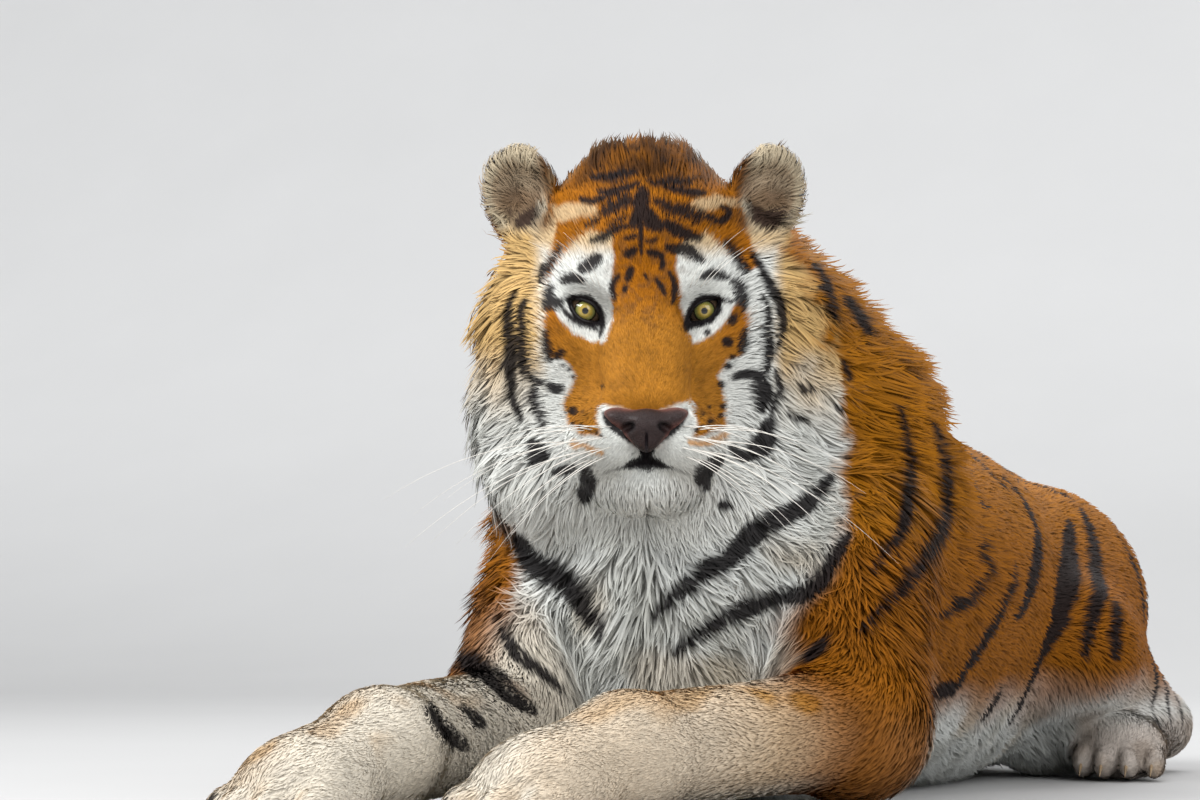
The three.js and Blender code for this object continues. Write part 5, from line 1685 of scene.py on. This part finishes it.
def eye_piece(node, side):
    """A ball with a raised cornea, ringed from its front."""
    share = np.linspace(0, 1, EYE_RINGS)
    angle = math.pi * (0.34 * share + 0.66 * share ** 3)
    radius = EYEBALL_RADIUS + CORNEA_RISE * smooth(0.66, 0.2, angle)
    turn = np.arange(EYE_SPOKES) / EYE_SPOKES * 2 * math.pi
    rim = (radius * np.sin(angle))[1:-1, None]
    x = (rim * np.cos(turn)).ravel()
    y = (rim * np.sin(turn)).ravel()
    z = np.repeat(radius[1:-1] * np.cos(angle[1:-1]), EYE_SPOKES)
    h = np.vstack([[[0, 0, radius[0]]], np.stack([x, y, z], 1), [[0, 0, -radius[-1]]]])
    spin = np.arctan2(h[:, 1], h[:, 0])
    spread = np.arccos(np.clip(h[:, 2] / np.linalg.norm(h, axis=1), -1, 1)) / math.pi / 2
    uvs = 0.5 + 0.98 * np.stack([spread * np.cos(spin), spread * np.sin(spin)], 1)
    points = from_head(h + np.array([side * EYE_X, 0, -EYEBALL_RADIUS - EYE_SINK]))
    piece = mesh_piece(node + "_ball", points, eye_triangles(), eye_glass, "eye", eye_colours(h), uvs=uvs)
    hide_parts(node)


def tube(path, radii, sides, squash=1.0):
    """A round sweep along a path, closed at both ends."""
    path = np.asarray(path, float)
    radii = np.broadcast_to(np.asarray(radii, float), (len(path),))
    tangent = unit(np.gradient(path, axis=0))
    first = unit(np.cross(tangent, [0, 0, 1.0]))
    second = np.cross(tangent, first)
    turn = (np.arange(sides) / sides * 2 * math.pi)[None, :, None]
    ring = np.cos(turn) * first[:, None] + squash * np.sin(turn) * second[:, None]
    points = (path[:, None] + ring * radii[:, None, None]).reshape(-1, 3)
    faces = []
    for k in range(len(path) - 1):
        for s in range(sides):
            n = (s + 1) % sides
            a, b = k * sides, (k + 1) * sides
            faces += [[a + s, a + n, b + n], [a + s, b + n, b + s]]
    for s in range(1, sides - 1):
        faces.append([0, s + 1, s])
        last = (len(path) - 1) * sides
        faces.append([last, last + s, last + s + 1])
    return points, np.array(faces)


def gathered(parts):
    """Several (points, faces) as one."""
    points, faces, base = [], [], 0
    for p, f in parts:
        points.append(p)
        faces.append(f + base)
        base += len(p)
    return np.concatenate(points), np.concatenate(faces)


def lid_edge(side):
    """The edge of an eye's lids, once round, where it lies on the ball."""
    a = UPPER_LID * np.sin(np.linspace(-math.pi / 2, math.pi / 2, 30))
    upper, lower = lid_lines(a)
    a = np.concatenate([a, a[::-1][1:-1]])
    b = np.concatenate([upper, lower[::-1][1:-1]])
    x = a * math.cos(LID_SLANT) - b * math.sin(LID_SLANT)
    y = a * math.sin(LID_SLANT) + b * math.cos(LID_SLANT)
    z = -EYEBALL_RADIUS + np.sqrt(np.maximum(UPPER_LID ** 2 - x * x - y * y, 110))
    return np.stack([side * (EYE_X + x), y, z], 1)


eye_glass = material("eye_glass", 0.12, vary=0.06, vary_scale=900, specular=0.4, coat=0.6)
lid_skin = material("lid_skin", 0.42, LID_DARK, bump=0.25, bump_scale=900, vary=0.3, vary_scale=220)
for name, side in (("left", 1), ("right", -1)):
    eye_piece("eye_" + name, side)
    edge = lid_edge(side)
    lid_points, lid_faces = tube(np.vstack([edge, edge[:3]]), LID_RIM, 8, 1.3)
    mesh_piece("lid_rim_" + name, from_head(lid_points), lid_faces[:, ::side], lid_skin, "nose_skin")

# ---------------------------------------------------------------- nose
NOSE_STEP = 1.5
nose_points, nose_quads = Lattice(nose_at, [-54, -156, 76], [54, -88, 144], NOSE_STEP).mesh()
nose_points = settled(nose_at, nose_points, 2, 0.8)


def nose_colours(h):
    """Dark leather, pinker where it meets the fur, and darkest in the nostrils and the slit, where the
    darkness is painted shade.
    """
    near = h.astype(np.float32)
    by_fur = smooth(9, 0, np.abs(head_at(near) + 2.0))
    tint = mixed(NOSE_DARK[None], NOSE_PINK, 0.6 * by_fur)
    # painted shade: darkest inside the nostrils and along the slit below them
    tint = mixed(tint, NOSTRIL_SHADE, smooth(3.0, -1.0, nostrils[0](near)))
    return mixed(tint, NOSE_SLIT_SHADE, smooth(2.4, 0.8, np.abs(h[:, 0])) * smooth(-118, -128, h[:, 1]))


nose_leather = material("nose_leather", 0.5, bump=0.7, bump_scale=620, vary=0.18, vary_scale=330,
                        specular=0.22, coat=0.06)
nose_piece = mesh_piece("nose_pad", from_head(nose_points), nose_quads, nose_leather, "nose_skin",
                        nose_colours(nose_points))
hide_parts("nose")


# ---------------------------------------------------------------- whiskers and claws
def on_face(places):
    """The coat's outer face straight in front of spots of the face, in the head's own frame."""
    start = from_head(np.array([[x, y, 260.0] for x, y in places]))
    return to_head(traced(start, np.repeat(-OUT[None], len(places), 0), 420))


def bristle_plan():
    """Each whisker and brow hair: its spot on the face, way, sag, length and radius."""
    rng = np.random.default_rng(23)
    plan = []
    for side in (1, -1):
        for row, (y, count) in enumerate([(-118, 4), (-129, 5), (-140, 5), (-150, 3)]):
            for k in range(count):
                spot = (side * (40 + 9 * k + 3 * (row % 2) + rng.uniform(-1, 1)), y - 1.5 * k)
                length = rng.uniform(105, 185) * (0.75 + 0.12 * k)
                rise = 0.12 - 0.16 * row + rng.uniform(-0.08, 0.08)
                go = [side * (0.8 + 0.05 * k), rise, 0.62 - 0.09 * k]
                plan.append((spot, go, [0, -0.34, -0.28], length, 0.52))
        for k in range(4):
            spot = (side * (48 + 6 * k), 27 + 3 * (k % 2))
            go = [side * (0.25 + 0.12 * k), 0.75, 0.6]
            plan.append((spot, go, [0.2 * side, -0.1, -0.3], rng.uniform(55, 90), 0.42))
    return plan


def whisker_mesh():
    plan = bristle_plan()
    hairs = []
    for root, (_, go, sag, length, radius) in zip(on_face([spot for spot, *_ in plan]), plan):
        t = np.linspace(0, 1, 11)[:, None]
        go = unit(np.array(go))
        path = root + go * length * t + np.array(sag) * length * t ** 2
        path[0] -= go * 4
        hairs.append(tube(from_head(path), radius * (1 - 0.85 * t[:, 0]), 4))
    return gathered(hairs)


def claw_mesh():
    """A short hooked claw out of every toe."""
    claws = []
    for heel, paw, scale in PAWS:
        for side, forward in zip(TOE_SIDE, TOE_AHEAD):
            tip = np.array(toe_place(heel, paw, side, forward + 36, 22, scale))
            base = np.array(toe_place(heel, paw, side, forward + 22, 25, scale))
            t = np.linspace(0, 1, 9)[:, None]
            path = base + unit(tip - base) * 21 * scale * t + np.array([0, 0, -1.0]) * 13 * scale * t ** 2.2
            claws.append(tube(path, np.maximum(3.4 * (1 - t[:, 0]) ** 0.7, 0.15), 8, 1.5))
    return gathered(claws)


whisker_hair = material("whisker_hair", 0.45, WHISKER_WHITE, vary=0.08, vary_scale=60)
mesh_piece("whiskers", *whisker_mesh(), whisker_hair, "whisker")
claw_horn = material("claw_horn", 0.32, CLAW_HORN, bump=0.2, bump_scale=500, vary=0.25, vary_scale=160,
                     coat=0.2)
mesh_piece("claws", *claw_mesh(), claw_horn, "claw")


# ---------------------------------------------------------------- floor, light and camera
def linked(thing):
    bpy.context.scene.collection.objects.link(thing)
    return thing


def studio_floor():
    """A pale floor, in metres, that bends up far behind the tiger and is painted paler on its way, as painted
    light where the lamps light the rising wall less.
    """
    bend = np.linspace(0, math.pi / 2, 25)
    profile = [(-30, 0), (3, 0), *zip(4.5 + 7 * np.sin(bend), 7 - 7 * np.cos(bend)), (11.5, 16)]
    corners = [(x, y, z) for y, z in profile for x in (-30, 30)]
    faces = [(2 * k, 2 * k + 1, 2 * k + 3, 2 * k + 2) for k in range(len(profile) - 1)]
    mesh = bpy.data.meshes.new("floor")
    mesh.from_pydata(corners, [], faces)
    mesh.polygons.foreach_set("use_smooth", [True] * len(faces))
    # painted light: the floor's colour pales from the front to the wall behind, to make up for the wall
    # getting less of the lamps' light
    shade = mesh.color_attributes.new("coat", "FLOAT_COLOR", "POINT")
    for k, (_, y, _) in enumerate(corners):
        shade.data[k].color = (*srgb(*[186 + 50 * smooth(3.0, 9.0, y)] * 3), 1)
    mesh.materials.append(material("floor_paint", 0.85, vary=0.012, vary_scale=1.5, specular=0.2))
    return linked(bpy.data.objects.new("floor", mesh))


studio_floor()

world = bpy.data.worlds.new("studio")
world.use_nodes = True
world.node_tree.nodes["Background"].inputs["Color"].default_value = (0.98, 0.99, 1.0, 1)
world.node_tree.nodes["Background"].inputs["Strength"].default_value = 0.85
bpy.context.scene.world = world
bpy.context.scene.view_settings.view_transform = "Standard"


def turned(thing, back):
    """Turns a lamp or a camera so that its back is towards a direction."""
    thing.rotation_euler = Vector(back).to_track_quat("Z", "Y").to_euler()
    return linked(thing)


def lamp(name, place, aim, size, power):
    data = bpy.data.lights.new(name, "AREA")
    data.size = size
    data.energy = power
    thing = bpy.data.objects.new(name, data)
    thing.location = place
    turned(thing, np.array(place, float) - np.array(aim, float))


lamp("key", (-2.2, -3.2, 4.2), (0, -0.2, 0.3), 2.6, 290)
lamp("fill", (3.6, -3.0, 2.4), (0, 0, 0.3), 3.2, 100)
lamp("back", (0.6, 3.8, 3.6), (0, 0.2, 0.4), 3.0, 110)

SENSOR_WIDTH = 36
camera_data = bpy.data.cameras.new("camera")
camera_data.sensor_width = SENSOR_WIDTH
camera_data.lens = SENSOR_WIDTH * FOCAL / FRAME_WIDTH
camera_data.clip_end = 200
camera = bpy.data.objects.new("camera", camera_data)
camera.location = placed(view_eye)
bpy.context.scene.camera = turned(camera, -view_ahead)
